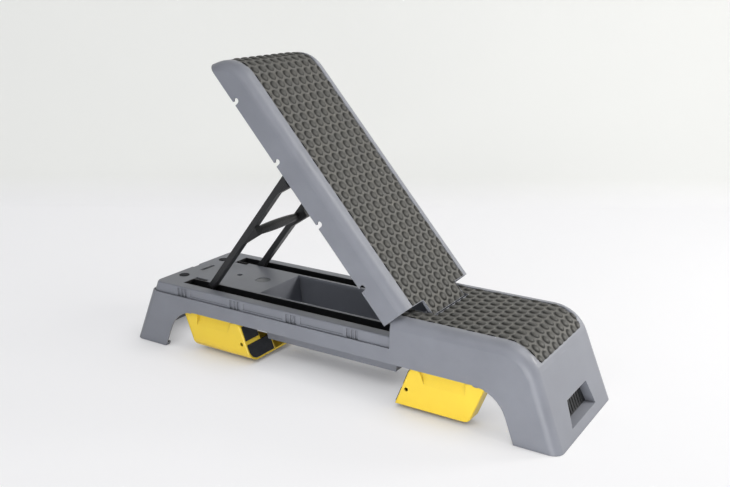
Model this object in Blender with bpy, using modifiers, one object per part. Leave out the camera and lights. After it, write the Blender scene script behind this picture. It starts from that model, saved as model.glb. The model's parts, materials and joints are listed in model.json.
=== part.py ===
"""Aerobic step with a reclining backrest and two folding riser legs.

Metres, +Z up. The origin is on the floor under the middle of the base, +X points
to the seat end and -Y to the front side. The backrest is modelled lying closed and
is then turned about its hinge to the angle at which it stands.
"""
import math

import bmesh
import bpy
from mathutils import Matrix, Vector

# Outer body
LENGTH = 1.113
HEIGHT = 0.200
FLOOR_WIDTH = 0.313
SIDE_SLOPE = 0.044            # each side leans in by this much per metre of height
END_ANGLE = math.radians(21.43)
END_RADIUS = 0.080            # curve between the top and an end face
EDGE_RADIUS = 0.022           # round along every long edge and upright corner
EDGE_STEPS = 5
INSIDE_STEPS = 4              # facets of the same round seen from inside
ARC_STEPS = 8
WALL = 0.004
GAP = 0.0003                  # between two pieces that touch
RIM_LIFT = 0.0005             # the moulding's rim stays off the floor, on its pads

# Base moulding
BACKREST_DEPTH = 0.065        # the height that the backrest takes of the closed body
SEAT_LENGTH = 0.381           # from the seat end at floor level to the closed backrest
BULKHEAD = 0.0035
LEDGE_DROP = 0.010            # of the ledge under the deck, below the base's upper edge
LEDGE_DEPTH = 0.010
LEDGE_HEIGHT = 0.004
SEAT_RIB_DEPTH = 0.053
SEAT_RIB_COUNT = 3
SEAT_RIB = 0.003
LEFT_FOOT = 0.105             # length along the floor of the foot under the backrest
RIGHT_FOOT = 0.096
BEAM_DEPTH = 0.033
ARCH_RADIUS = 0.080
FLANGE_HEIGHT = 0.008
FLANGE_WIDTH = 0.015
PAD_LENGTH = 0.050
PAD_WIDTH = 0.008
PAD_HEIGHT = 0.0035
PAD_FROM_ARCH = 0.012

# Hand hold in the seat end
HOLD_LOW_Z = 0.021
HOLD_HIGH_Z = 0.072
HOLD_LOW_HALF = 0.069
HOLD_HIGH_HALF = 0.055
HOLD_DEPTH = 0.025
HOLD_WALL = 0.003
HOLD_PLATE = 0.0025
HOLD_RIB = 0.002
HOLD_RIB_COUNT = 9

# Non-slip mats
MAT_FROM_SIDE = 0.040         # from the body's side at floor level
MAT_RECESS = 0.0018
MAT_PROUD = 0.0012
MAT_MARGIN = 0.0018
MAT_CORNER = 0.014
MAT_END_ANGLE = math.radians(57)
RIM = 0.0013

# Backrest and its hinge
BACKREST_ANGLE = math.radians(48.5)
BACKREST_RAISE = math.radians(10)
BACKREST_LOWER = math.radians(4.5)
SEAM = 0.003
HINGE_SET = 0.0443            # from the seat's edge
HINGE_DROP = 0.0313           # below the top
HINGE_ROD_R = 0.005
TONGUE_HALF = 0.0732
TONGUE_REACH = 0.0352         # past the seat's edge
TONGUE_THICKNESS = 0.0058
EAR_Y = 0.058
EAR_THICKNESS = 0.008
EAR_R = 0.0105
EAR_ROOT = 0.026
BUSH_R = 0.009
SWING_CLEARANCE = 0.0022
WELL_SIDE_CLEARANCE = 0.0010
WELL_WALL = 0.0035
WELL_FLOOR_DROP = 0.019
ROD_BOSS_R = 0.010
ROD_BOSS = 0.004
BACK_RIB = 0.003
BACK_RIB_DEPTH = 0.012
BACK_RIB_Y = 0.070
BAND_COUNT = 4
BAND_FROM_END = 0.157
BAND_FROM_SEAT = 0.093
BAND_HOLE_R = 0.0062
BAND_HOLE_RISE = 0.0085
BAND_NECK = 0.0065

# Deck tray with its storage tub
TRAY_SETBACK = 0.005
TRAY_RISE = 0.024             # of the deck above the base's upper edge
TRAY_WALL = 0.0035
TRAY_EDGE = 0.003
TUB_FROM_END = 0.336
TUB_FROM_SEAT = 0.0075
TUB_HALF = 0.077
TUB_DEPTH = 0.112
TUB_WALL = 0.0025
TUB_END_DRAFT = 0.022
TUB_SIDE_DRAFT = 0.006
SLOT_FROM_END = 0.136
SLOT_INSIDE = 0.0115          # from the middle of a strut arm to the slot's inner side
SLOT_OUTSIDE = 0.0255
SLOT_NOTCH_LENGTH = 0.040
SLOT_NOTCH_WIDTH = 0.012
CRADLE_COUNT = 5
CRADLE = 0.003
CRADLE_DEPTH = 0.029
CRADLE_MARGIN = 0.010
CRADLE_FROM_SEAT = 0.036
BUMPER_FROM_END = 0.098
BUMPER_Y = 0.074
BUMPER_R = 0.0125
BUMPER_PROUD = 0.0012
LATCH_FROM_END = 0.1035
LATCH_LENGTH = 0.046
LATCH_WIDTH = 0.010
DRAIN_FROM_END = 0.213
DRAIN_R = 0.0075
DISC_FROM_END = 0.286
DISC_R = 0.0185
DISC_DEPTH = 0.0016
BAND_RECESS_WIDTH = 0.032
BAND_RECESS_DEPTH = 0.0022
BAND_RIB = 0.0022
PANEL_DEPTH = 0.0008

# Rails with the rack teeth
RAIL_WALL = 0.0015
RAIL_FLOOR = 0.0025
RAIL_DEPTH = 0.024
RAIL_REACH = 0.0275           # past the seat's edge
RACK_PITCH = 0.038
RACK_DEPTH = 0.006
RACK_BEFORE = 1
RACK_AFTER = 3
RACK_CLEARANCE = 0.0006

# Strut
FOOT_SET = 0.064              # from the slot's end to where the strut's line meets the hinge's height
STRUT_RISE = math.radians(1.9)
ARM_TURN = math.radians(1.75)  # of the arms from the line between pivot and sliding point
ARM_FROM_SIDE = 0.062         # from the body's side at floor level
ARM_WIDTH = 0.018
ARM_THICKNESS = 0.014
ARM_EYE_R = 0.009
FOOT_REACH = 0.0087           # of the arm's end past the sliding point
SHOE_R = 0.0085
SHOE_LENGTH = 0.017
PIVOT_R = 0.004
FORK_GAP = 0.001
FORK_WALL = 0.003
FORK_PLATE = 0.0026
FORK_LENGTH = 0.042
GRIP_FROM_PIVOT = 0.265
GRIP_DROP = 0.003             # below the middle of the arms
GRIP_R = 0.0135
GRIP_END_R = 0.0085
GRIP_FLATNESS = 0.85
GRIP_BRACKET = (0.236, 0.296)  # ends of its brackets, measured from the pivot
GRIP_BRACKET_DEPTH = 0.024
CROSS_BAR_FROM_PIVOT = 0.100
CROSS_BAR_DROP = 0.011
CROSS_BAR_R = 0.006
CROSS_BRACKET = (0.090, 0.128)
CROSS_BRACKET_DEPTH = 0.020

# Riser legs, folded under the base
LEG_SET_IN = 0.183            # from the end of the base at floor level to the left leg's corner
HOLD_OFFSET = 0.019           # the seat-end leg stands further in, clear of the hand hold
LEG_LENGTH = 0.172
LEG_LOW_Z = 0.008
LEG_TOP_GAP = 0.004           # under the beam
LEG_FROM_SIDE = 0.0185
LEG_WALL = 0.004
LEG_CORNER = 0.015
LEG_FOOT_CORNER = 0.015
LEG_EYE_R = 0.0225            # sets the hinge far enough in for the open leg to clear the end wall
LEG_PIVOT_RISE = 0.004        # above the beam's underside
LEG_PIN_R = 0.005
LEG_BOX = 0.040
LEG_FOOT_BOX = 0.054
LEG_FOOT_INNER = 0.045
LEG_SHELF_GAP = 0.002         # under the tub
LEG_SIDE = 0.011
LEG_GRIP_HEIGHT = 0.031       # from its lip to the leg's upper edge
LEG_GRIP_LENGTH = 0.094
LEG_GRIP_START = 0.009
LEG_GRIP_DEPTH = 0.007
LEG_GRIP_RISE = 0.0115        # of its lower face towards the back
LEG_BOSS_R = 0.014
LEG_BOSS_GAP = 0.0012
LEG_PAD_THICKNESS = 0.003
LEG_PAD_RECESS = 0.0015
LEG_BAR = 0.008
LEG_PAD_MARGIN = 0.005
LEG_SNAP_R = 0.0045
LEG_SNAP_RISE = 0.039
LEG_SNAP_FROM_FOOT = 0.0127
LEG_EDGE = 0.0045

SIN_END = math.sin(END_ANGLE)
COS_END = math.cos(END_ANGLE)
TAN_END = math.tan(END_ANGLE)
HALF_LENGTH = LENGTH / 2
ARC_Z = HEIGHT - END_RADIUS
ARC_X = HALF_LENGTH - (END_RADIUS + ARC_Z * SIN_END) / COS_END
SHOULDER_Z = HEIGHT - BACKREST_DEPTH
LEDGE_Z = SHOULDER_Z - LEDGE_DROP
SEAT_X = HALF_LENGTH - SEAT_LENGTH
SEAT_RIB_Z = HEIGHT - SEAT_RIB_DEPTH
LEFT_ARCH_X = HALF_LENGTH - LEFT_FOOT
RIGHT_ARCH_X = HALF_LENGTH - RIGHT_FOOT
ARCH_TOP_Z = SHOULDER_Z - BEAM_DEPTH
MAT_HALF = FLOOR_WIDTH / 2 - MAT_FROM_SIDE

BACKREST_END = SEAT_X - SEAM
HINGE_X = SEAT_X + HINGE_SET
HINGE_Z = HEIGHT - HINGE_DROP
TONGUE_END = SEAT_X + TONGUE_REACH
TIP_RADIUS = math.hypot(HINGE_X - TONGUE_END, HEIGHT + MAT_PROUD - HINGE_Z)
TIP_ANGLE = math.atan2(TONGUE_END - HINGE_X, HEIGHT + MAT_PROUD - HINGE_Z)
WELL_HALF = TONGUE_HALF + WELL_SIDE_CLEARANCE
WELL_RIGHT = HINGE_X + TIP_RADIUS * math.sin(TIP_ANGLE + BACKREST_ANGLE + BACKREST_RAISE) + SWING_CLEARANCE
WELL_FLOOR = HINGE_Z - WELL_FLOOR_DROP

TRAY_TOP_Z = SHOULDER_Z + TRAY_RISE
TUB_LEFT = TUB_FROM_END - HALF_LENGTH
TUB_RIGHT = SEAT_X - TUB_FROM_SEAT
TUB_BOTTOM_Z = TRAY_TOP_Z - TUB_DEPTH
ARM_Y = FLOOR_WIDTH / 2 - ARM_FROM_SIDE
SLOT_LEFT = SLOT_FROM_END - HALF_LENGTH
SLOT_INNER = ARM_Y - SLOT_INSIDE
SLOT_OUTER = ARM_Y + SLOT_OUTSIDE
RAIL_LOW_Z = TRAY_TOP_Z - GAP - RAIL_DEPTH
RAIL_RIGHT = SEAT_X + RAIL_REACH
BUMPER_X = BUMPER_FROM_END - HALF_LENGTH
LATCH_X = LATCH_FROM_END - HALF_LENGTH
DRAIN_X = DRAIN_FROM_END - HALF_LENGTH
DISC_X = DISC_FROM_END - HALF_LENGTH

# A point of the strut as far from its pivot as the pivot is from the hinge slides at the
# height of the hinge; the feet lie just past that point.
FOOT_X = SLOT_LEFT + FOOT_SET
STRUT_ANGLE = BACKREST_ANGLE + STRUT_RISE
STRUT_LENGTH = (HINGE_X - FOOT_X) / (2 * math.cos(STRUT_ANGLE))
PIVOT_X = HINGE_X - STRUT_LENGTH * math.cos(STRUT_RISE)
PIVOT_Z = HINGE_Z + STRUT_LENGTH * math.sin(STRUT_RISE)

LEG_HALF = FLOOR_WIDTH / 2 - LEG_FROM_SIDE
LEG_TOP_Z = ARCH_TOP_Z - LEG_TOP_GAP
LEG_PIVOT_Z = ARCH_TOP_Z + LEG_PIVOT_RISE
LEG_SHELF_Z = TUB_BOTTOM_Z - LEG_SHELF_GAP
LEG_GRIP_LOW = LEG_TOP_Z - LEG_GRIP_HEIGHT


def spread(first, last, count):
    """Evenly spaced values from the first to the last."""
    return [first + index * (last - first) / (count - 1) for index in range(count)]


BAND_X = spread(BAND_FROM_END - HALF_LENGTH, SEAT_X - BAND_FROM_SEAT, BAND_COUNT)

for old in list(bpy.data.objects):
    bpy.data.objects.remove(old, do_unlink=True)

PARTS = bpy.data.collections.new("aerobic_step")
CUTTERS = bpy.data.collections.new("cutters")
bpy.context.scene.collection.children.link(PARTS)
bpy.context.scene.collection.children.link(CUTTERS)


def plastic(name, colour, roughness, metallic=0.0):
    """A material with one colour, roughness and metallic value."""
    made = bpy.data.materials.new(name)
    made.use_nodes = True
    shader = made.node_tree.nodes["Principled BSDF"]
    shader.inputs["Base Color"].default_value = (*colour, 1.0)
    shader.inputs["Roughness"].default_value = roughness
    shader.inputs["Metallic"].default_value = metallic
    made.diffuse_color = (*colour, 1.0)
    return made


GREY = plastic("grey_polypropylene", (0.235, 0.245, 0.270), 0.45)
MAT_RUBBER = plastic("mat_rubber", (0.100, 0.098, 0.088), 0.75)
BLACK = plastic("black_nylon", (0.022, 0.023, 0.025), 0.5)
YELLOW = plastic("yellow_polypropylene", (1.000, 0.720, 0.035), 0.4)
PAD_RUBBER = plastic("pad_rubber", (0.025, 0.027, 0.033), 0.8)
STEEL = plastic("zinc_plated_steel", (0.55, 0.55, 0.53), 0.35, 1.0)


def end_x(z, inset=0.0):
    """X of an end face at height z, moved in by an inset."""
    return ARC_X + (END_RADIUS - inset - (z - ARC_Z) * SIN_END) / COS_END


def half_width(z, inset=0.0):
    """Half the body's width at height z, moved in by an inset."""
    return FLOOR_WIDTH / 2 - SIDE_SLOPE * z - inset


def arc(x, z, radius, start, end, steps):
    """Points along an arc, from one angle to another in radians."""
    turn = (end - start) / steps
    return [(x + radius * math.cos(start + i * turn), z + radius * math.sin(start + i * turn))
            for i in range(steps + 1)]


def end_arc(side, inset, low_angle=END_ANGLE, steps=ARC_STEPS):
    """The curve from an end face up to the top: side is -1 for the left, 1 for the right."""
    points = arc(0.0, ARC_Z, END_RADIUS - inset, low_angle, math.pi / 2, steps)
    points = [(side * (ARC_X + x), z) for x, z in points]
    return points if side < 0 else points[::-1]


def new_object(name, mesh, material=None, cutter=False):
    """Put a mesh in the scene, as a part or as a hidden cutter."""
    made = bpy.data.objects.new(name, mesh)
    if cutter:
        made.hide_render = True
        made.display_type = "WIRE"
        CUTTERS.objects.link(made)
    else:
        PARTS.objects.link(made)
    if material:
        mesh.materials.append(material)
    return made


def mesh_from(bm, name):
    """Close a bmesh into a mesh whose faces point out."""
    bmesh.ops.recalc_face_normals(bm, faces=bm.faces)
    mesh = bpy.data.meshes.new(name)
    bm.to_mesh(mesh)
    bm.free()
    return mesh


def outline_bmesh(name, points, half_thickness):
    """A flat outline with thickness, from a filled 2D curve; x and y stay, z is the thickness."""
    curve = bpy.data.curves.new(name, "CURVE")
    curve.dimensions = "2D"
    curve.fill_mode = "BOTH"
    curve.extrude = half_thickness
    spline = curve.splines.new("POLY")
    spline.points.add(len(points) - 1)
    for point, (x, y) in zip(spline.points, points):
        point.co = (x, y, 0.0, 1.0)
    spline.use_cyclic_u = True
    drawn = bpy.data.objects.new(name, curve)
    CUTTERS.objects.link(drawn)
    depsgraph = bpy.context.evaluated_depsgraph_get()
    mesh = bpy.data.meshes.new_from_object(drawn.evaluated_get(depsgraph))
    bpy.data.objects.remove(drawn, do_unlink=True)
    bm = bmesh.new()
    bm.from_mesh(mesh)
    bpy.data.meshes.remove(mesh)
    bmesh.ops.remove_doubles(bm, verts=bm.verts, dist=1e-6)
    bmesh.ops.dissolve_limit(bm, angle_limit=math.radians(0.3), verts=bm.verts, edges=bm.edges)
    return bm


def side_outline(name, points, y_low, y_high):
    """An outline in X and Z, from y_low to y_high."""
    bm = outline_bmesh(name, points, (y_high - y_low) / 2)
    turn = Matrix.Rotation(math.pi / 2, 4, "X")
    bmesh.ops.transform(bm, matrix=Matrix.Translation((0, (y_low + y_high) / 2, 0)) @ turn, verts=bm.verts)
    return bm


def plan_outline(name, points, z_low, z_high):
    """An outline in X and Y, from z_low to z_high."""
    bm = outline_bmesh(name, points, (z_high - z_low) / 2)
    bmesh.ops.translate(bm, vec=(0, 0, (z_low + z_high) / 2), verts=bm.verts)
    return bm


def add_box(bm, x0, x1, y0, y1, z0, z1):
    """Add a box to a bmesh."""
    size = Matrix.Diagonal((x1 - x0, y1 - y0, z1 - z0, 1.0))
    place = Matrix.Translation(((x0 + x1) / 2, (y0 + y1) / 2, (z0 + z1) / 2))
    return bmesh.ops.create_cube(bm, size=1.0, matrix=place @ size)["verts"]


def add_box_pair(bm, x0, x1, y0, y1, z0, z1):
    """Add a box on each side of the middle plane."""
    add_box(bm, x0, x1, y0, y1, z0, z1)
    add_box(bm, x0, x1, -y1, -y0, z0, z1)


def add_rod(bm, x, z, radius, y0, y1, sides=24):
    """Add a round bar that lies across the body."""
    turn = Matrix.Rotation(math.pi / 2, 4, "X")
    place = Matrix.Translation((x, (y0 + y1) / 2, z))
    bmesh.ops.create_cone(bm, cap_ends=True, segments=sides, radius1=radius, radius2=radius,
                          depth=y1 - y0, matrix=place @ turn)


def add_rod_pair(bm, x, z, radius, y0, y1, sides=24):
    """Add a round bar on each side of the middle plane."""
    add_rod(bm, x, z, radius, y0, y1, sides)
    add_rod(bm, x, z, radius, -y1, -y0, sides)


def add_post(bm, x, y, radius, z0, z1, sides=24):
    """Add a round bar that stands upright."""
    place = Matrix.Translation((x, y, (z0 + z1) / 2))
    bmesh.ops.create_cone(bm, cap_ends=True, segments=sides, radius1=radius, radius2=radius,
                          depth=z1 - z0, matrix=place)


def box_cutter(name, *size):
    """A hidden box."""
    bm = bmesh.new()
    add_box(bm, *size)
    return new_object(name, mesh_from(bm, name), cutter=True)


def box_pair_cutter(name, *size):
    """A hidden pair of boxes, one on each side of the middle plane."""
    bm = bmesh.new()
    add_box_pair(bm, *size)
    return new_object(name, mesh_from(bm, name), cutter=True)


def rod_pair_cutter(name, *size):
    """A hidden pair of round bars across the body."""
    bm = bmesh.new()
    add_rod_pair(bm, *size)
    return new_object(name, mesh_from(bm, name), cutter=True)


def tapered_box(name, x0, x1, half, z0, z1, x_draft, y_draft, slant=0.0):
    """A hidden box whose low end is smaller; slant moves each level along X with the end face."""
    bm = bmesh.new()
    for vert in add_box(bm, x0, x1, -half, half, z0, z1):
        low = vert.co.z < (z0 + z1) / 2
        if low:
            vert.co.x += x_draft if vert.co.x < (x0 + x1) / 2 else -x_draft
            vert.co.y -= math.copysign(y_draft, vert.co.y)
        vert.co.x -= slant * (vert.co.z - z0)
    return new_object(name, mesh_from(bm, name), cutter=True)


def boolean(target, tool, operation="DIFFERENCE"):
    """Cut, join or intersect a part with a hidden solid."""
    modifier = target.modifiers.new(tool.name, "BOOLEAN")
    modifier.operation = operation
    modifier.solver = "EXACT"
    modifier.object = tool


def join(target, tool):
    """Join a hidden solid to a part."""
    boolean(target, tool, "UNION")


def side_edges(bm, skip):
    """Edges between a side face and the outline's own surface, without those that skip names."""
    found = []
    for edge in bm.edges:
        steep = [face for face in edge.link_faces if abs(face.normal.y) > 0.9]
        if len(edge.link_faces) == 2 and len(steep) == 1:
            middle = (edge.verts[0].co + edge.verts[1].co) / 2
            if not skip(middle.x, middle.z):
                found.append(edge)
    return found


def body_solid(name, points, inset, skip, radius=None, width_at=half_width, steps=EDGE_STEPS):
    """An outline in X and Z as wide as the body, with its sides leaning in and its edges round."""
    bm = side_outline(name, points, -FLOOR_WIDTH / 2, FLOOR_WIDTH / 2)
    bm.normal_update()
    for vert in bm.verts:
        vert.co.y = math.copysign(width_at(vert.co.z, inset), vert.co.y)
    bm.normal_update()
    edges = side_edges(bm, skip)
    size = EDGE_RADIUS - inset if radius is None else radius
    bmesh.ops.bevel(bm, geom=edges, offset=size, segments=steps, profile=0.5, affect="EDGES")
    return bm


def shade(target):
    """Smooth shading with sharp edges where the faces turn by more than 35 degrees."""
    target.data.shade_smooth()
    target.data.set_sharp_from_angle(angle=math.radians(35))
    return target


def body_part(name, bm, material):
    """A visible part from a bmesh."""
    return shade(new_object(name, mesh_from(bm, name), material))


def cutter_part(name, bm):
    """A hidden solid from a bmesh."""
    return new_object(name, mesh_from(bm, name), cutter=True)


def mat_band(name, side, x_inner, low_inset, high_inset, half):
    """A band that follows the top from x_inner over the end curve."""
    outer = arc(0.0, ARC_Z, END_RADIUS - high_inset, math.pi / 2 - MAT_END_ANGLE, math.pi / 2, ARC_STEPS)
    inner = arc(0.0, ARC_Z, END_RADIUS - low_inset, math.pi / 2 - MAT_END_ANGLE, math.pi / 2, ARC_STEPS)
    points = [(side * (ARC_X + x), z) for x, z in outer]
    points += [(x_inner, HEIGHT - high_inset), (x_inner, HEIGHT - low_inset)]
    points += [(side * (ARC_X + x), z) for x, z in reversed(inner)]
    return side_outline(name, points, -half, half)


def rounded_end(x_end, x_start, half, radius, margin):
    """Half of a mat's plan: from the start, round the two corners at the end, and back."""
    side = 1 if x_end > x_start else -1
    tip = x_end + side * margin
    wide = half + margin
    turn = radius + margin
    corner = arc(tip - side * turn, wide - turn, turn, 0.0, math.pi / 2, 4)
    if side < 0:
        corner = [(2 * (tip + turn) - x, y) for x, y in corner]
    upper = list(reversed(corner))
    lower = [(x, -y) for x, y in corner]
    return upper + lower


def backrest_mat_plan(margin):
    """Plan of the backrest's mat: a T whose stem lies on the tongue."""
    tip = -(ARC_X + END_RADIUS * math.sin(MAT_END_ANGLE))
    edge = BACKREST_END - RIM - GAP + min(margin, GAP)
    stem = TONGUE_END - RIM - GAP + min(margin, GAP)
    stem_half = TONGUE_HALF - RIM - GAP + min(margin, GAP)
    half = MAT_HALF + margin
    curved = rounded_end(tip, edge, MAT_HALF, MAT_CORNER, margin)
    return ([(edge, half)] + curved + [(edge, -half), (edge, -stem_half), (stem, -stem_half),
                                       (stem, stem_half), (edge, stem_half)])


def seat_mat_plan(margin):
    """Plan of the seat's mat, with a notch for the hinge well."""
    tip = ARC_X + END_RADIUS * math.sin(MAT_END_ANGLE)
    edge = SEAT_X + RIM + GAP - min(margin, GAP)
    notch = WELL_RIGHT + RIM + GAP - min(margin, GAP)
    notch_half = WELL_HALF + RIM + GAP - min(margin, GAP)
    half = MAT_HALF + margin
    curved = rounded_end(tip, edge, MAT_HALF, MAT_CORNER, margin)
    return ([(edge, half)] + curved + [(edge, -half), (edge, -notch_half), (notch, -notch_half),
                                       (notch, notch_half), (edge, notch_half)])


def mat_recess(name, side, x_inner, plan):
    """The shallow seat that is cut for a mat."""
    band = mat_band(name + "_band", side, x_inner, MAT_RECESS, -0.010, MAT_HALF + 0.02)
    tool = cutter_part(name, band)
    trim = cutter_part(name + "_plan", plan_outline(name, plan(MAT_MARGIN), ARC_Z, HEIGHT + END_RADIUS))
    boolean(tool, trim, "INTERSECT")
    return tool


def make_mat(name, side, x_inner, plan):
    """A mat that lies in its recess and stands a little proud of it."""
    band = mat_band(name, side, x_inner, MAT_RECESS - GAP, -MAT_PROUD, MAT_HALF + 0.02)
    mat = body_part(name, band, MAT_RUBBER)
    trim = cutter_part(name + "_plan", plan_outline(name, plan(0.0), ARC_Z, HEIGHT + END_RADIUS))
    boolean(mat, trim, "INTERSECT")
    return mat


def attach(part, axis):
    """Hang a part that is modelled in place on the empty that carries its joint."""
    part.data.transform(Matrix.Translation(-Vector(tuple(axis["home"]))))
    part.parent = axis
    for modifier in part.modifiers:
        if modifier.type == "BOOLEAN":
            hang_cutter(modifier.object, axis)


def hang_cutter(tool, axis):
    """Take a cutter along with the part that it cuts."""
    if tool.parent is None:
        tool.data.transform(Matrix.Translation(-Vector(tuple(axis["home"]))))
        tool.parent = axis
        for modifier in tool.modifiers:
            hang_cutter(modifier.object, axis)


def joint_axis(name, home, parent=None, parent_home=(0, 0, 0), turn=0.0):
    """An empty on a joint's axis; home is where the axis lies while its pieces are modelled."""
    empty = bpy.data.objects.new(name, None)
    empty.empty_display_size = 0.03
    PARTS.objects.link(empty)
    empty["home"] = home
    empty.parent = parent
    empty.location = Vector(home) - Vector(parent_home)
    empty.rotation_euler = (0.0, turn, 0.0)
    return empty


def base_outline():
    """Side view of the base moulding: low under the backrest, full height at the seat."""
    points = [(-end_x(RIM_LIFT), RIM_LIFT), (-end_x(SHOULDER_Z), SHOULDER_Z), (SEAT_X, SHOULDER_Z)]
    points += [(SEAT_X, HEIGHT)] + end_arc(1, 0.0)
    return points + [(end_x(RIM_LIFT), RIM_LIFT)]


def main_cavity(name):
    """The hollow inside the base, open at the top left of the bulkhead and closed by the seat top."""
    low = FLANGE_HEIGHT
    over = SHOULDER_Z + 0.01
    step = LEDGE_Z - LEDGE_HEIGHT / 2
    seat = SEAT_X + BULKHEAD
    points = [(-end_x(low, WALL), low), (-end_x(over, WALL), over), (SEAT_X + GAP / 2, over)]
    points += [(SEAT_X + GAP / 2, step), (seat, step), (seat, HEIGHT - WALL)] + end_arc(1, WALL, steps=6)
    points += [(end_x(low, WALL), low)]

    def skip(x, z):
        return abs(z - low) < 1e-5 or abs(z - over) < 1e-5 or (-ARC_X < x < seat + 1e-5)

    return cutter_part(name, body_solid(name, points, WALL, skip, steps=INSIDE_STEPS))


def foot_cavity(name):
    """The open underside, narrower than the hollow above it so that a flange stays for the pads."""
    top = FLANGE_HEIGHT + RIM_LIFT
    points = [(-end_x(-0.01, WALL), -0.01), (-end_x(top, WALL), top)]
    points += [(end_x(top, WALL), top), (end_x(-0.01, WALL), -0.01)]

    def skip(x, z):
        return abs(z + 0.01) < 1e-5 or abs(z - top) < 1e-5

    bm = body_solid(name, points, FLANGE_WIDTH, skip, radius=EDGE_RADIUS - FLANGE_WIDTH, steps=4)
    return cutter_part(name, bm)


def arch_outline():
    """The opening under the beam, from foot to foot, with its upper corners round."""
    low = -0.01
    set_in = ARCH_TOP_Z * TAN_END + ARCH_RADIUS * math.tan((math.pi / 2 - END_ANGLE) / 2)
    curve = arc(0.0, ARCH_TOP_Z - ARCH_RADIUS, ARCH_RADIUS, END_ANGLE, math.pi / 2, ARC_STEPS)
    right = [(RIGHT_ARCH_X - set_in + x, z) for x, z in curve]
    left = [(set_in - LEFT_ARCH_X - x, z) for x, z in reversed(curve)]
    below = -low * TAN_END
    return [(RIGHT_ARCH_X + below, low)] + right + left + [(-LEFT_ARCH_X - below, low)]


def hand_hold_block():
    """Solid stock behind the seat end's face, for the walls of the hand hold."""
    low = HOLD_LOW_Z - HOLD_WALL
    high = HOLD_HIGH_Z + HOLD_WALL
    back = HOLD_DEPTH + HOLD_WALL
    skin = WALL / 2
    points = [(end_x(low) - back, low), (end_x(high) - back, high)]
    points += [(end_x(high) - skin, high), (end_x(low) - skin, low)]
    half = HOLD_LOW_HALF + HOLD_WALL
    return cutter_part("hand_hold_block", side_outline("hand_hold_block", points, -half, half))


def hand_hold_shape(name, front, back, inset):
    """The hand hold's trapezoid between two depths behind the end face."""
    bm = bmesh.new()
    low = HOLD_LOW_Z + inset
    high = HOLD_HIGH_Z - inset
    for vert in add_box(bm, 0.0, 1.0, -1.0, 1.0, 0.0, 1.0):
        z = high if vert.co.z > 0.5 else low
        half = (HOLD_HIGH_HALF if vert.co.z > 0.5 else HOLD_LOW_HALF) - inset
        depth = front if vert.co.x > 0.5 else back
        vert.co = (end_x(z) - depth, math.copysign(half, vert.co.y), z)
    return bm


def leg_pivot_x(side):
    """X of a leg's hinge; side is -1 for the backrest end and 1 for the seat end."""
    corner = leg_corner(side)
    rise = LEG_PIVOT_Z - LEG_LOW_Z
    return side * (corner + rise * TAN_END - LEG_EYE_R / COS_END)


def leg_corner(side):
    """Distance from the middle of the base to a folded leg's lower outer corner."""
    return HALF_LENGTH - LEG_SET_IN - (HOLD_OFFSET if side > 0 else 0.0)


def make_base():
    """The base moulding with its feet, beams, seat top and hinge well."""
    def skip(x, z):
        on_floor = abs(z - RIM_LIFT) < 1e-5
        on_shoulder = abs(z - SHOULDER_Z) < 1e-5 and x < SEAT_X
        return on_floor or on_shoulder or abs(x - SEAT_X) < 1e-5

    base = body_part("base_shell", body_solid("base_shell", base_outline(), 0.0, skip), GREY)
    boolean(base, foot_cavity("foot_cavity"))
    boolean(base, main_cavity("main_cavity"))
    outer = half_width(LEDGE_Z, WALL / 2)
    join(base, box_pair_cutter("ledges", EDGE_RADIUS - end_x(LEDGE_Z), SEAT_X + BULKHEAD / 2,
                               outer - LEDGE_DEPTH + WALL / 2, outer, LEDGE_Z - LEDGE_HEIGHT, LEDGE_Z))
    add_seat_ribs(base)
    make_hinge_well(base)
    arch = side_outline("arch", arch_outline(), -FLOOR_WIDTH, FLOOR_WIDTH)
    boolean(base, cutter_part("arch", arch))
    bm = bmesh.new()
    rail_top = PIVOT_Z + SHOE_R + GAP
    add_box_pair(bm, SEAT_X - 0.01, SEAT_X + BULKHEAD + 0.01, SLOT_INNER, SLOT_OUTER,
                 RAIL_LOW_Z - GAP, rail_top)
    boolean(base, cutter_part("rail_passages", bm))
    boolean(base, mat_recess("seat_mat_recess", 1, SEAT_X - 0.01, seat_mat_plan))
    join(base, hand_hold_block())
    hold = hand_hold_shape("hand_hold", -0.01, HOLD_DEPTH, 0.0)
    boolean(base, cutter_part("hand_hold", hold))
    make_leg_bosses(base)
    make_pad_pockets(base)
    return base


def add_seat_ribs(base):
    """Cross ribs under the seat top."""
    low = SEAT_RIB_Z
    high = HEIGHT - WALL / 2
    pitch = (ARC_X - WELL_RIGHT - WELL_WALL) / SEAT_RIB_COUNT
    for index in range(SEAT_RIB_COUNT):
        right = WELL_RIGHT + WELL_WALL + (index + 1) * pitch
        left = right - SEAT_RIB
        name = f"seat_rib_{index}"
        rib = body_solid(name, [(left, low), (left, high), (right, high), (right, low)], WALL / 2,
                         lambda x, z: z < high - GAP, steps=INSIDE_STEPS)
        join(base, cutter_part(name, rib))


def make_hinge_well(base):
    """The open well that the tongue swings in, with bosses for the hinge rod."""
    outer = WELL_HALF + WELL_WALL
    top = HEIGHT - WALL / 2
    join(base, box_cutter("well_walls", SEAT_X + BULKHEAD / 2, WELL_RIGHT + WELL_WALL, -outer, outer,
                          WELL_FLOOR - WELL_WALL, top))
    join(base, rod_pair_cutter("rod_bosses", HINGE_X, HINGE_Z, ROD_BOSS_R, outer - WELL_WALL / 2,
                               WELL_HALF + ROD_BOSS + WELL_WALL))
    boolean(base, box_cutter("well", SEAT_X - 0.01, WELL_RIGHT, -WELL_HALF, WELL_HALF,
                             WELL_FLOOR, HEIGHT + 0.01))
    boolean(base, rod_pair_cutter("rod_holes", HINGE_X, HINGE_Z, HINGE_ROD_R + GAP, WELL_HALF - 0.01,
                                  WELL_HALF + ROD_BOSS + WELL_WALL + 0.01))


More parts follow.
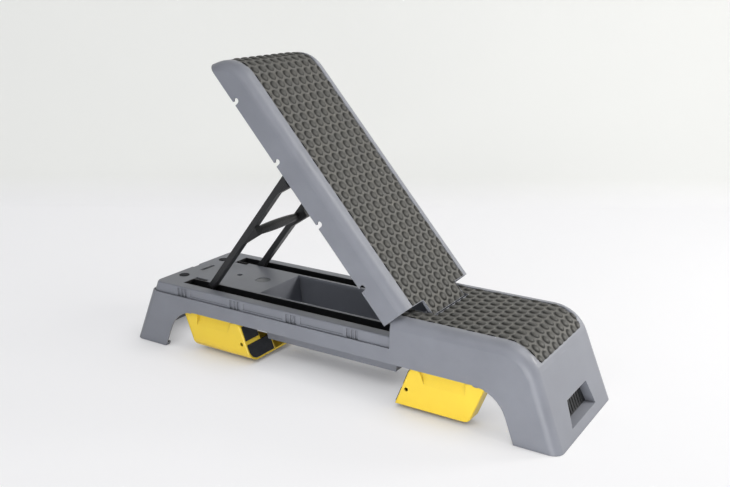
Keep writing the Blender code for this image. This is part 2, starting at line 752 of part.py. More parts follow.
def make_leg_bosses(base):
    """Inner bosses on the side walls, with a blind hole each for a leg's pin."""
    start = LEG_HALF + LEG_BOSS_GAP
    inner = half_width(LEG_PIVOT_Z, WALL)
    for side, name in ((-1, "left"), (1, "right")):
        x = leg_pivot_x(side)
        join(base, rod_pair_cutter(f"{name}_leg_bosses", x, LEG_PIVOT_Z, LEG_BOSS_R, start, inner + WALL / 3))
        boolean(base, rod_pair_cutter(f"{name}_leg_holes", x, LEG_PIVOT_Z, LEG_PIN_R + GAP, start - 0.01,
                                      inner + WALL / 6))


def pad_x(side, gap=0.0):
    """Lower and higher X of the floor pads at one end: side is -1 for the left, 1 for the right."""
    start = (LEFT_ARCH_X if side < 0 else RIGHT_ARCH_X) + PAD_FROM_ARCH
    return sorted((side * (start - gap), side * (start + PAD_LENGTH + gap)))


def pad_y():
    """Inner and outer Y of the floor pads."""
    middle = FLOOR_WIDTH / 2 - FLANGE_WIDTH / 2 - WALL / 2
    return middle - PAD_WIDTH / 2 + WALL / 2, middle + PAD_WIDTH / 2 + WALL / 2


def make_pad_pockets(base):
    """Pockets in the flanges under the feet."""
    inner, outer = pad_y()
    top = PAD_HEIGHT + GAP
    for side, name in ((-1, "left"), (1, "right")):
        x0, x1 = pad_x(side, GAP)
        boolean(base, box_pair_cutter(f"{name}_pad_pockets", x0, x1, inner - GAP, outer + GAP, -0.01, top))


def make_floor_pads():
    """Four rubber strips that the base stands on."""
    inner, outer = pad_y()
    for side_x, end in ((-1, "left"), (1, "right")):
        for side_y, face in ((-1, "front"), (1, "back")):
            bm = bmesh.new()
            x0, x1 = pad_x(side_x)
            y0, y1 = sorted((side_y * inner, side_y * outer))
            add_box(bm, x0, x1, y0, y1, 0.0, PAD_HEIGHT)
            upright = [edge for edge in bm.edges if abs(edge.verts[0].co.z - edge.verts[1].co.z) > GAP]
            bmesh.ops.bevel(bm, geom=upright, offset=PAD_WIDTH / 4, segments=2, profile=0.5, affect="EDGES")
            body_part(f"floor_pad_{end}_{face}", bm, PAD_RUBBER)


def make_hand_hold_plate():
    """The ribbed black plate at the back of the hand hold."""
    front = HOLD_DEPTH - GAP - HOLD_PLATE
    shape = hand_hold_shape("hand_hold_plate", front, HOLD_DEPTH - GAP, GAP)
    plate = body_part("hand_hold_plate", shape, BLACK)
    bm = bmesh.new()
    low = HOLD_LOW_Z + 0.004
    high = HOLD_HIGH_Z - 0.004
    pitch = 2 * (HOLD_HIGH_HALF - 0.006) / (HOLD_RIB_COUNT - 1)
    for index in range(HOLD_RIB_COUNT):
        y = (index - (HOLD_RIB_COUNT - 1) / 2) * pitch
        for vert in add_box(bm, 0.0, 1.0, y - pitch / 4, y + pitch / 4, low, high):
            ahead = front - HOLD_RIB if vert.co.x > 0.5 else front + HOLD_PLATE / 2
            vert.co.x = end_x(vert.co.z) - ahead
    join(plate, cutter_part("hand_hold_ribs", bm))


def tray_outline(inset, low, high, right):
    """Side view of the deck tray."""
    return [(-end_x(low, inset), low), (-end_x(high, inset), high), (right, high), (right, low)]


def tray_solid(name, inset, low, high, right):
    """The tray's outer or inner form, round at the two end corners."""
    def skip(x, z):
        return abs(z - low) < 1e-5 or abs(z - high) < 1e-5 or abs(x - right) < 1e-5

    return body_solid(name, tray_outline(inset, low, high, right), inset, skip, radius=EDGE_RADIUS - inset)


def soften_top(bm, top, size):
    """Round the edges of the tray's top face."""
    bm.normal_update()
    rim = []
    for edge in bm.edges:
        flat = [face for face in edge.link_faces if face.normal.z > 0.9]
        on_top = all(abs(vert.co.z - top) < 1e-5 for vert in edge.verts)
        if on_top and len(flat) == 1 and min(vert.co.x for vert in edge.verts) < SEAT_X - 0.01:
            rim.append(edge)
    bmesh.ops.bevel(bm, geom=rim, offset=size, segments=2, profile=0.5, affect="EDGES")


def make_tray():
    """The deck under the backrest: slots for the rails, storage tub and side recesses."""
    right = SEAT_X - GAP
    bm = tray_solid("deck_tray", TRAY_SETBACK, LEDGE_Z + GAP, TRAY_TOP_Z, right)
    soften_top(bm, TRAY_TOP_Z, TRAY_EDGE)
    tray = body_part("deck_tray", bm, GREY)
    inside = tray_solid("tray_inside", TRAY_SETBACK + TRAY_WALL, LEDGE_Z - 0.01, TRAY_TOP_Z - TRAY_WALL,
                        right - TRAY_WALL)
    boolean(tray, cutter_part("tray_inside", inside))
    cut_band_recesses(tray)
    join(tray, tapered_box("tub_outside", TUB_LEFT - TUB_WALL, TUB_RIGHT + TUB_WALL, TUB_HALF + TUB_WALL,
                           TUB_BOTTOM_Z, TRAY_TOP_Z - TRAY_WALL / 2, TUB_END_DRAFT, TUB_SIDE_DRAFT))
    bm = bmesh.new()
    cradle_low = TRAY_TOP_Z - CRADLE_DEPTH
    for x in spread(SLOT_LEFT + CRADLE_MARGIN, SEAT_X - CRADLE_FROM_SEAT, CRADLE_COUNT):
        add_box_pair(bm, x, x + CRADLE, SLOT_INNER - 0.006, SLOT_OUTER + 0.006, cradle_low,
                     TRAY_TOP_Z - TRAY_WALL / 2)
    join(tray, cutter_part("rail_cradles", bm))
    boolean(tray, tapered_box("tub_inside", TUB_LEFT, TUB_RIGHT, TUB_HALF, TUB_BOTTOM_Z + TUB_WALL,
                              TRAY_TOP_Z + 0.01, TUB_END_DRAFT, TUB_SIDE_DRAFT))
    bm = bmesh.new()
    add_box_pair(bm, SLOT_LEFT, SEAT_X + 0.01, SLOT_INNER, SLOT_OUTER, RAIL_LOW_Z - GAP, TRAY_TOP_Z + 0.01)
    boolean(tray, cutter_part("rail_slots", bm))
    boolean(tray, box_pair_cutter("slot_notches", SLOT_LEFT, SLOT_LEFT + SLOT_NOTCH_LENGTH,
                                  SLOT_INNER - SLOT_NOTCH_WIDTH, SLOT_INNER + GAP,
                                  TRAY_TOP_Z - TRAY_WALL * 2, TRAY_TOP_Z + 0.01))
    cut_deck_details(tray)
    return tray


def cut_band_recesses(tray):
    """Upright recesses in the tray's sides, in line with the backrest's band notches."""
    outer = half_width(TRAY_TOP_Z, TRAY_SETBACK)
    low = SHOULDER_Z - 0.003
    high = TRAY_TOP_Z - 0.004
    bm = bmesh.new()
    for x in BAND_X:
        step = (BAND_RECESS_WIDTH - BAND_RIB) / 3
        start = x - BAND_RECESS_WIDTH / 2
        for index in range(3):
            left = start + index * step + (BAND_RIB if index else 0.0)
            add_box_pair(bm, left, start + (index + 1) * step, outer - BAND_RECESS_DEPTH,
                         outer + 0.01, low, high)
    boolean(tray, cutter_part("band_recesses", bm))
    bm = bmesh.new()
    for left, right in zip(BAND_X, BAND_X[1:]):
        margin = BAND_RECESS_WIDTH * 0.75
        add_box_pair(bm, left + margin, right - margin, outer - PANEL_DEPTH, outer + 0.01,
                     SHOULDER_Z + 0.004, high)
    boolean(tray, cutter_part("side_panels", bm))


def cut_deck_details(tray):
    """Bumper seats, latch slot, drain hole, round depression and the nick in the left edge."""
    above = TRAY_TOP_Z + 0.01
    below = TRAY_TOP_Z - TRAY_WALL - 0.002
    bm = bmesh.new()
    for y in (-BUMPER_Y, BUMPER_Y):
        add_post(bm, BUMPER_X, y, BUMPER_R + GAP, TRAY_TOP_Z - TRAY_WALL / 2, above)
    half = LATCH_LENGTH / 2
    add_box(bm, LATCH_X, LATCH_X + LATCH_WIDTH, -half, half, below, above)
    add_box(bm, -end_x(TRAY_TOP_Z), -end_x(TRAY_TOP_Z) + 0.012, -half * 0.6, half * 0.6, below, above)
    boolean(tray, cutter_part("deck_details", bm))
    bm = bmesh.new()
    add_post(bm, DRAIN_X, 0.0, DRAIN_R, below, above, 20)
    boolean(tray, cutter_part("drain_hole", bm))
    bm = bmesh.new()
    add_post(bm, DISC_X, 0.0, DISC_R, TRAY_TOP_Z - DISC_DEPTH, above, 32)
    boolean(tray, cutter_part("round_depression", bm))


def turned(name, profile, material, turn, place, steps=24):
    """A profile of radius and height turned about an axis, by a Screw modifier."""
    mesh = bpy.data.meshes.new(name)
    verts = [(radius, 0.0, height) for radius, height in profile]
    mesh.from_pydata(verts, [(i, i + 1) for i in range(len(verts) - 1)], [])
    made = new_object(name, mesh, material)
    screw = made.modifiers.new("turn", "SCREW")
    screw.axis = "Z"
    screw.steps = steps
    screw.render_steps = steps
    screw.use_merge_vertices = True
    screw.merge_threshold = 0.00001
    made.matrix_world = Matrix.Translation(place) @ turn
    return made


def make_bumpers():
    """Two ringed rubber buttons that the closed backrest rests on."""
    r = BUMPER_R
    top = TRAY_TOP_Z + BUMPER_PROUD
    low = TRAY_TOP_Z - TRAY_WALL / 2 + GAP
    profile = [(0.0, top), (r * 0.55, top), (r * 0.62, top - BUMPER_PROUD), (r * 0.80, top - BUMPER_PROUD),
               (r * 0.86, top - BUMPER_PROUD * 0.4), (r, top - BUMPER_PROUD * 0.4), (r, low), (0.0, low)]
    for y, face in ((-BUMPER_Y, "front"), (BUMPER_Y, "back")):
        turned(f"bumper_{face}", profile, PAD_RUBBER, Matrix.Identity(4), (BUMPER_X, y, 0.0))


def shoe_place(raised):
    """X and Z of a shoe's round end when the backrest is raised by an angle from where it stands."""
    strut = STRUT_ANGLE + raised
    arm = strut + ARM_TURN
    reach = STRUT_LENGTH + FOOT_REACH
    return (HINGE_X - STRUT_LENGTH * math.cos(strut) - reach * math.cos(arm),
            HINGE_Z + STRUT_LENGTH * math.sin(strut) - reach * math.sin(arm))


def crest_z(x):
    """Height of the rack's crests: a straight line just under the shoes' path."""
    x0, z0 = shoe_place(-BACKREST_LOWER)
    x1, z1 = shoe_place(BACKREST_RAISE)
    return z0 + (z1 - z0) * (x - x0) / (x1 - x0) - SHOE_R - RACK_CLEARANCE


def rack_outline():
    """What is cut out of a rail: straight on top, with saw teeth below."""
    deep = RAIL_LOW_Z + RAIL_FLOOR
    left = SLOT_LEFT + GAP + RAIL_WALL
    rest_x = shoe_place(0.0)[0]
    points = [(left, TRAY_TOP_Z + 0.01), (left, crest_z(left))]
    for index in range(-RACK_BEFORE, RACK_AFTER + 1):
        notch = rest_x + index * RACK_PITCH
        edge = notch - SHOE_R
        foot = notch + SHOE_R * 0.2
        points += [(edge, crest_z(edge)), (edge, crest_z(edge) - RACK_DEPTH)]
        points.append((foot, crest_z(foot) - RACK_DEPTH))
    end = rest_x + (RACK_AFTER + 1) * RACK_PITCH - SHOE_R
    points += [(end, crest_z(end)), (end + SHOE_R * 0.4, deep), (RAIL_RIGHT + 0.01, deep)]
    return points + [(RAIL_RIGHT + 0.01, TRAY_TOP_Z + 0.01)]


def make_rails():
    """Two black rails with rack teeth, let into the slots of the deck."""
    for side, face in ((-1, "front"), (1, "back")):
        bm = bmesh.new()
        y0, y1 = sorted((side * (SLOT_INNER + GAP), side * (SLOT_OUTER - GAP)))
        add_box(bm, SLOT_LEFT + GAP, RAIL_RIGHT, y0, y1, RAIL_LOW_Z, TRAY_TOP_Z - GAP)
        rail = body_part(f"rack_rail_{face}", bm, BLACK)
        tool = side_outline(f"rack_{face}", rack_outline(), y0 + RAIL_WALL, y1 - RAIL_WALL)
        boolean(rail, cutter_part(f"rack_{face}", tool))


def make_hinge():
    """The hinge rod and the two bushes between the ears and the well."""
    bm = bmesh.new()
    reach = WELL_HALF + ROD_BOSS + WELL_WALL - GAP
    add_rod(bm, HINGE_X, HINGE_Z, HINGE_ROD_R, -reach, reach)
    body_part("hinge_rod", bm, STEEL)
    for side, face in ((-1, "front"), (1, "back")):
        y0, y1 = sorted((side * (EAR_Y + EAR_THICKNESS + GAP * 2), side * (WELL_HALF - GAP)))
        bm = bmesh.new()
        add_rod(bm, HINGE_X, HINGE_Z, BUSH_R, y0, y1)
        bush = body_part(f"hinge_bush_{face}", bm, BLACK)
        bm = bmesh.new()
        add_rod(bm, HINGE_X, HINGE_Z, HINGE_ROD_R + GAP, y0 - 0.01, y1 + 0.01)
        boolean(bush, cutter_part(f"bush_bore_{face}", bm))


def backrest_outline(inset, low, right):
    """Side view of the backrest, lying closed."""
    points = [(-end_x(low, inset), low)] + end_arc(-1, inset)
    return points + [(right, HEIGHT - inset), (right, low)]


def backrest_solid(name, inset, low, right, steps=EDGE_STEPS):
    """The backrest's outer or inner form."""
    def skip(x, z):
        return abs(z - low) < 1e-5 or abs(x - right) < 1e-5

    return body_solid(name, backrest_outline(inset, low, right), inset, skip, steps=steps)


def make_backrest(axis):
    """The backrest moulding with its tongue, hinge ears, ribs and band notches."""
    bm = backrest_solid("backrest_shell", 0.0, SHOULDER_Z + GAP, BACKREST_END)
    shell = body_part("backrest_shell", bm, GREY)
    inside = backrest_solid("backrest_inside", WALL, SHOULDER_Z - 0.01, BACKREST_END + 0.01, INSIDE_STEPS)
    boolean(shell, cutter_part("backrest_inside", inside))
    under = HEIGHT - TONGUE_THICKNESS
    join(shell, box_cutter("tongue", BACKREST_END - 0.02, TONGUE_END, -TONGUE_HALF, TONGUE_HALF,
                           under, HEIGHT))
    make_hinge_ears(shell, under)
    make_back_ribs(shell)
    boolean(shell, mat_recess("backrest_mat_recess", -1, TONGUE_END + 0.01, backrest_mat_plan))
    cut_band_notches(shell)
    attach(shell, axis)
    return shell


def make_hinge_ears(shell, under):
    """Two ears that reach from the tongue down to the hinge rod."""
    eye = arc(HINGE_X, HINGE_Z, EAR_R, math.radians(150), math.radians(375), 12)
    points = [(TONGUE_END - EAR_ROOT, under + 0.001)] + eye + [(TONGUE_END - 0.001, under + 0.001)]
    for side, face in ((-1, "front"), (1, "back")):
        y0, y1 = sorted((side * EAR_Y, side * (EAR_Y + EAR_THICKNESS)))
        join(shell, cutter_part(f"hinge_ear_{face}", side_outline(f"hinge_ear_{face}", points, y0, y1)))
    boolean(shell, rod_pair_cutter("ear_holes", HINGE_X, HINGE_Z, HINGE_ROD_R + GAP, EAR_Y - 0.01,
                                   EAR_Y + EAR_THICKNESS + 0.01))


def make_back_ribs(shell):
    """Stiffening ribs on the underside; they stop where the strut's grip folds in."""
    top = HEIGHT - WALL / 2 - MAT_RECESS / 2
    low = HEIGHT - WALL - BACK_RIB_DEPTH
    grip_x = PIVOT_X + GRIP_FROM_PIVOT
    spans = ((-ARC_X, grip_x - 0.045), (grip_x + 0.045, BACKREST_END - 0.005))
    bm = bmesh.new()
    for left, right in spans:
        add_box_pair(bm, left, right, BACK_RIB_Y, BACK_RIB_Y + BACK_RIB, low, top)
    join(shell, cutter_part("long_ribs", bm))
    bm = bmesh.new()
    for left, right in spans:
        count = max(2, round((right - left) / 0.10) + 1)
        for index in range(count):
            x = left + index * (right - left - BACK_RIB) / (count - 1)
            add_box(bm, x, x + BACK_RIB, -BACK_RIB_Y - BACK_RIB / 2, BACK_RIB_Y + BACK_RIB / 2, low, top)
    join(shell, cutter_part("cross_ribs", bm))


def cut_band_notches(shell):
    """Keyhole notches along both lower edges, for exercise bands."""
    z = SHOULDER_Z + BAND_HOLE_RISE
    outer = half_width(0.0)
    inner = half_width(HEIGHT, 2 * WALL)
    bm = bmesh.new()
    for x in BAND_X:
        add_rod_pair(bm, x, z, BAND_HOLE_R, inner, outer, 20)
    boolean(shell, cutter_part("band_holes", bm))
    bm = bmesh.new()
    for x in BAND_X:
        left = x + BAND_HOLE_R - BAND_NECK
        for vert in add_box(bm, left, x + BAND_HOLE_R, -1.0, 1.0, SHOULDER_Z - 0.01, z):
            if vert.co.x < x and vert.co.z < SHOULDER_Z:
                vert.co.x -= BAND_NECK
            vert.co.y = math.copysign(outer, vert.co.y)
    boolean(shell, cutter_part("band_necks", bm))


def fork_sides():
    """Inner and outer Y of the two cheeks that hold a strut arm."""
    reach = ARM_WIDTH / 2 + FORK_GAP
    return ((ARM_Y - reach - FORK_WALL, ARM_Y - reach), (ARM_Y + reach, ARM_Y + reach + FORK_WALL))


def make_strut_forks(axis):
    """Forks under the backrest that the strut arms hang from, and their pins."""
    top = HEIGHT - WALL - GAP
    plate_low = top - FORK_PLATE
    eye = arc(PIVOT_X, PIVOT_Z, ARM_EYE_R, math.radians(180), math.radians(360), 10)
    points = [(PIVOT_X - FORK_LENGTH * 0.35, plate_low + 0.001)] + eye
    points += [(PIVOT_X + FORK_LENGTH * 0.35, plate_low + 0.001)]
    cheeks = fork_sides()
    room = backrest_solid("fork_room", WALL + GAP, SHOULDER_Z - 0.01, BACKREST_END, INSIDE_STEPS)
    trim = cutter_part("fork_room", room)
    for side, face in ((-1, "front"), (1, "back")):
        y0, y1 = sorted((side * (cheeks[0][0] - 0.002), side * cheeks[1][1]))
        bm = bmesh.new()
        add_box(bm, PIVOT_X - FORK_LENGTH / 2, PIVOT_X + FORK_LENGTH / 2, y0, y1, plate_low, top + WALL / 2)
        fork = body_part(f"strut_fork_{face}", bm, BLACK)
        for index, cheek in enumerate(cheeks):
            y0, y1 = sorted((side * cheek[0], side * cheek[1]))
            name = f"fork_cheek_{face}_{index}"
            join(fork, cutter_part(name, side_outline(name, points, y0, y1)))
        low, high = sorted((side * (cheeks[0][0] - 0.001), side * (cheeks[1][1] + 0.001)))
        bm = bmesh.new()
        add_rod(bm, PIVOT_X, PIVOT_Z, PIVOT_R + GAP, low - 0.01, high + 0.01, 20)
        boolean(fork, cutter_part(f"fork_hole_{face}", bm))
        boolean(fork, trim, "INTERSECT")
        attach(fork, axis)
        bm = bmesh.new()
        add_rod(bm, PIVOT_X, PIVOT_Z, PIVOT_R, low, high, 20)
        attach(body_part(f"strut_pin_{face}", bm, STEEL), axis)


def make_strut(axis):
    """Two arms with their shoes, the contoured grip and the cross bar that join them."""
    foot_x = PIVOT_X - STRUT_LENGTH - FOOT_REACH
    half = ARM_THICKNESS / 2
    arm_end = foot_x + half
    reach = math.asin(half / ARM_EYE_R)
    eye = arc(PIVOT_X, PIVOT_Z, ARM_EYE_R, math.pi - reach, reach - math.pi, 12)
    points = [(arm_end, PIVOT_Z + half)] + eye + [(arm_end, PIVOT_Z - half)]
    for side, face in ((-1, "front"), (1, "back")):
        middle = side * ARM_Y
        bm = side_outline(f"strut_arm_{face}", points, middle - ARM_WIDTH / 2, middle + ARM_WIDTH / 2)
        arm = body_part(f"strut_arm_{face}", bm, BLACK)
        hole = bmesh.new()
        add_rod(hole, PIVOT_X, PIVOT_Z, PIVOT_R + GAP, middle - ARM_WIDTH, middle + ARM_WIDTH, 20)
        boolean(arm, cutter_part(f"arm_hole_{face}", hole))
        attach(arm, axis)
        make_shoe(axis, face, middle, foot_x, arm_end)
    make_grip(axis)
    make_cross_bar(axis)


def make_shoe(axis, face, middle, foot_x, arm_end):
    """The moulded shoe that clips on an arm's lower end and slides in the rack."""
    name = f"strut_shoe_{face}"
    points = arc(foot_x, PIVOT_Z, SHOE_R, math.pi / 2, math.pi * 3 / 2, 12)
    tip = foot_x + SHOE_LENGTH
    cheek = ARM_THICKNESS / 2 + GAP * 2
    points += [(tip, PIVOT_Z - cheek), (tip, PIVOT_Z + cheek)]
    width = ARM_WIDTH / 2
    shoe = body_part(name, side_outline(name, points, middle - width, middle + width), BLACK)
    half = ARM_THICKNESS / 2 + GAP
    boolean(shoe, box_cutter(f"shoe_socket_{face}", arm_end - GAP, tip + 0.01, middle - ARM_WIDTH,
                             middle + ARM_WIDTH, PIVOT_Z - half, PIVOT_Z + half))
    attach(shoe, axis)


def join_brackets(target, name, span, depth):
    """Join to a cross piece the two brackets under the arms that carry it."""
    near, far = (PIVOT_X - distance for distance in span)
    top = PIVOT_Z - ARM_THICKNESS / 2 - GAP
    low = PIVOT_Z - depth
    turn = (near - far) * 0.12
    points = [(far, top), (near - turn * 1.6, low), (near - turn * 0.7, low + turn * 0.2), (near, top)]
    for side, face in ((-1, "front"), (1, "back")):
        y0, y1 = sorted((side * (ARM_Y - ARM_WIDTH / 2), side * (ARM_Y + ARM_WIDTH / 2)))
        bracket = f"{name}_{face}"
        join(target, cutter_part(bracket, side_outline(bracket, points, y0, y1)))


def cut_arm_room(target, name, x):
    """Keep a cross piece clear of the two arms."""
    room = ARM_THICKNESS / 2 + GAP
    width = ARM_WIDTH / 2 + GAP
    boolean(target, box_pair_cutter(name, x - 0.05, x + 0.05, ARM_Y - width, ARM_Y + width,
                                    PIVOT_Z - room, PIVOT_Z + room + 0.01))


def make_grip(axis):
    """The grip across the strut: fat in the middle, with a bracket under each arm."""
    x = PIVOT_X - GRIP_FROM_PIVOT
    reach = ARM_Y
    count = 12
    profile = [(0.0, reach)]
    for index in range(count + 1):
        share = 1 - 2 * index / count
        radius = GRIP_END_R + (GRIP_R - GRIP_END_R) * math.cos(share * math.pi / 2) ** 0.8
        profile.append((radius, share * reach))
    profile.append((0.0, -reach))
    turn = Matrix.Rotation(math.pi / 2, 4, "X") @ Matrix.Diagonal((1.0, GRIP_FLATNESS, 1.0, 1.0))
    lens = turned("grip_lens", profile, BLACK, turn, (x, 0.0, PIVOT_Z - GRIP_DROP), 20)
    depsgraph = bpy.context.evaluated_depsgraph_get()
    mesh = bpy.data.meshes.new_from_object(lens.evaluated_get(depsgraph))
    mesh.transform(lens.matrix_world)
    bpy.data.objects.remove(lens, do_unlink=True)
    grip = shade(new_object("strut_grip", mesh))
    join_brackets(grip, "grip_bracket", GRIP_BRACKET, GRIP_BRACKET_DEPTH)
    cut_arm_room(grip, "grip_room", x)
    attach(grip, axis)


def make_cross_bar(axis):
    """A plain round bar between the arms near their upper ends, on brackets like the grip's."""
    x = PIVOT_X - CROSS_BAR_FROM_PIVOT
    bm = bmesh.new()
    add_rod(bm, x, PIVOT_Z - CROSS_BAR_DROP, CROSS_BAR_R, -ARM_Y, ARM_Y, 16)
    bar = body_part("strut_cross_bar", bm, BLACK)
    join_brackets(bar, "cross_bracket", CROSS_BRACKET, CROSS_BRACKET_DEPTH)
    cut_arm_room(bar, "cross_bar_room", x)
    attach(bar, axis)


def leg_x(side, along):
    """X of a place on a leg, measured from its lower outer corner towards the middle."""
    return side * (leg_corner(side) - along)


def leg_foot(z):
    """Distance along the leg to its foot face at height z."""
    return LEG_LENGTH - (z - LEG_LOW_Z) * TAN_END


def leg_outline(side):
    """Side view of a folded leg: a slanted box with an eye at its hinge."""
    pivot = leg_corner(side) - abs(leg_pivot_x(side))
    turn = LEG_CORNER * math.tan((math.pi / 2 - END_ANGLE) / 2)
    corner = arc(turn, LEG_LOW_Z + LEG_CORNER, LEG_CORNER, math.radians(270), math.pi + END_ANGLE, 5)
    drop = LEG_PIVOT_Z - LEG_TOP_Z
    start = -math.asin(drop / LEG_EYE_R)
    eye = arc(pivot, LEG_PIVOT_Z, LEG_EYE_R, math.pi + END_ANGLE, start, 14)
    foot_turn = LEG_FOOT_CORNER * math.tan((math.pi / 2 - END_ANGLE) / 2)
    foot = arc(leg_foot(LEG_TOP_Z) - foot_turn, LEG_TOP_Z - LEG_FOOT_CORNER, LEG_FOOT_CORNER,
               math.pi / 2, END_ANGLE, 5)
    points = corner + eye + foot + [(LEG_LENGTH, LEG_LOW_Z)]
    return [(leg_x(side, along), z) for along, z in points]


def slanted_box(bm, side, start, end, y0, y1, z0, z1):
    """Add boxes whose ends slant with the leg: one on each side, or one across where y0 is None."""
    spans = ((-y1, y1),) if y0 is None else ((y0, y1), (-y1, -y0))
    for low, high in spans:
        for vert in add_box(bm, 0.0, 1.0, low, high, z0, z1):
            along = end if vert.co.x > 0.5 else start
            vert.co.x = leg_x(side, along - (vert.co.z - LEG_LOW_Z) * TAN_END)


def make_leg(side, name, axis):
    """A riser leg: two side boxes joined by a plate at the foot end."""
    bm = side_outline(name, leg_outline(side), -LEG_HALF, LEG_HALF)
    bm.normal_update()
    edges = side_edges(bm, lambda x, z: False)
    bmesh.ops.bevel(bm, geom=edges, offset=LEG_EDGE, segments=3, profile=0.5, affect="EDGES")
    leg = body_part(name, bm, YELLOW)
    floor = LEG_LOW_Z + LEG_WALL
    above = LEG_PIVOT_Z + LEG_EYE_R + 0.01
    foot_start = LEG_LENGTH - LEG_FOOT_BOX
    box_inner = LEG_HALF - LEG_BOX
    wall = LEG_WALL
    cuts = []
    bm = bmesh.new()
    slanted_box(bm, side, -LEG_LENGTH, foot_start, None, box_inner, -0.01, above)
    cuts.append(("outer_channel", bm))
    bm = bmesh.new()
    slanted_box(bm, side, foot_start - 0.02, LEG_LENGTH + 0.02, None, LEG_FOOT_INNER, floor, above)
    cuts.append(("foot_channel", bm))
    bm = bmesh.new()
    slanted_box(bm, side, foot_start - 0.02, LEG_LENGTH + 0.02, None, TUB_HALF + LEG_WALL + TUB_WALL,
                LEG_SHELF_Z, above)
    cuts.append(("tub_clearance", bm))
    bm = bmesh.new()
    slanted_box(bm, side, wall / COS_END, LEG_LENGTH - wall / COS_END, box_inner + wall, LEG_HALF - wall,
                floor, LEG_GRIP_LOW - wall)
    cuts.append(("low_hollow", bm))
    bm = bmesh.new()
    slanted_box(bm, side, wall / COS_END + GAP, LEG_LENGTH - LEG_FOOT_CORNER, box_inner + wall + GAP,
                LEG_HALF - LEG_SIDE, LEG_GRIP_LOW - wall - GAP, above)
    cuts.append(("high_hollow", bm))
    bm = bmesh.new()
    slanted_box(bm, side, foot_start - 0.02, LEG_LENGTH - wall / COS_END - GAP, LEG_FOOT_INNER + wall,
                box_inner - GAP, floor + GAP, LEG_SHELF_Z - wall)
    cuts.append(("shelf_hollow", bm))
    cuts.append(("finger_recess", finger_recess(side, above)))
    bm = bmesh.new()
    add_rod_pair(bm, leg_pivot_x(side), LEG_PIVOT_Z, LEG_PIN_R + GAP, box_inner + wall, LEG_HALF + 0.01)
    cuts.append(("pin_holes", bm))
    bm = bmesh.new()
    snap_z = LEG_LOW_Z + LEG_SNAP_RISE
    add_rod_pair(bm, leg_x(side, leg_foot(snap_z) - LEG_SNAP_FROM_FOOT), snap_z, LEG_SNAP_R,
                 LEG_HALF - wall - 0.001, LEG_HALF + 0.01, 16)
    cuts.append(("snap_holes", bm))
    for cut_name, cut_mesh in cuts:
        boolean(leg, cutter_part(f"{name}_{cut_name}", cut_mesh))
    make_leg_pads(leg, side, name, axis)
    attach(leg, axis)


def finger_recess(side, above):
    """The recess in each side face, open at the top, that a finger lifts the leg by."""
    bm = bmesh.new()
    end = LEG_GRIP_START + LEG_GRIP_LENGTH
    deep_y = LEG_HALF - LEG_GRIP_DEPTH
    clear_y = LEG_HALF + LEG_GRIP_DEPTH
    for low, high in ((deep_y, clear_y), (-clear_y, -deep_y)):
        for vert in add_box(bm, 0.0, 1.0, low, high, 0.0, 1.0):
            rise = LEG_GRIP_RISE if abs(vert.co.y) < LEG_HALF else -LEG_GRIP_RISE
            z = above if vert.co.z > 0.5 else LEG_GRIP_LOW + rise
            along = end + (z - LEG_GRIP_LOW) * TAN_END if vert.co.x > 0.5 else LEG_GRIP_START
            vert.co = (leg_x(side, along), vert.co.y, z)
    return bm


def make_leg_pads(leg, side, name, axis):
    """Rubber pads let into the foot face: an upper and a lower one on each side."""
    outer = LEG_HALF - LEG_PAD_MARGIN
    tub_side = TUB_HALF + LEG_WALL + TUB_WALL + LEG_PAD_MARGIN / 2
    rows = (("upper", LEG_SHELF_Z + LEG_BAR + 0.003, LEG_TOP_Z - LEG_FOOT_CORNER * 0.7, tub_side),
            ("lower", LEG_LOW_Z + LEG_PAD_MARGIN, LEG_SHELF_Z + 0.001, LEG_FOOT_INNER + LEG_PAD_MARGIN))
    for row, z0, z1, inner in rows:
        cut = bmesh.new()
        slanted_box(cut, side, LEG_LENGTH - LEG_PAD_RECESS / COS_END, LEG_LENGTH + 0.01,
                    inner - GAP, outer + GAP, z0 - GAP, z1 + GAP)
        boolean(leg, cutter_part(f"{name}_{row}_pad_seats", cut))
        start = LEG_LENGTH - (LEG_PAD_RECESS - GAP) / COS_END
        end = LEG_LENGTH + (LEG_PAD_THICKNESS - LEG_PAD_RECESS) / COS_END
        for side_y, face in ((-1, "front"), (1, "back")):
            bm = bmesh.new()
            y0, y1 = sorted((side_y * inner, side_y * outer))
            for vert in add_box(bm, 0.0, 1.0, y0, y1, z0, z1):
                along = end if vert.co.x > 0.5 else start
                vert.co.x = leg_x(side, along - (vert.co.z - LEG_LOW_Z) * TAN_END)
            attach(body_part(f"{name}_pad_{row}_{face}", bm, PAD_RUBBER), axis)


def make_leg_pins(side, name):
    """Pins through the leg's side boxes into the bosses of the base."""
    x = leg_pivot_x(side)
    inner = LEG_HALF - LEG_SIDE
    outer = half_width(LEG_PIVOT_Z, WALL) + WALL / 6 - GAP
    for side_y, face in ((-1, "front"), (1, "back")):
        bm = bmesh.new()
        y0, y1 = sorted((side_y * inner, side_y * outer))
        add_rod(bm, x, LEG_PIVOT_Z, LEG_PIN_R, y0, y1)
        body_part(f"{name}_pin_{face}", bm, STEEL)


make_base()
make_floor_pads()
make_hand_hold_plate()
make_tray()
make_bumpers()
make_rails()
make_hinge()
make_mat("seat_mat", 1, SEAT_X - 0.01, seat_mat_plan)

hinge_home = (HINGE_X, 0.0, HINGE_Z)
backrest_axis = joint_axis("backrest_axis", hinge_home, turn=BACKREST_ANGLE)
make_backrest(backrest_axis)
attach(make_mat("backrest_mat", -1, TONGUE_END + 0.01, backrest_mat_plan), backrest_axis)
make_strut_forks(backrest_axis)
pivot_home = (PIVOT_X, 0.0, PIVOT_Z)
strut_turn = -STRUT_ANGLE - ARM_TURN - BACKREST_ANGLE
strut_axis = joint_axis("strut_axis", pivot_home, backrest_axis, hinge_home, strut_turn)
make_strut(strut_axis)

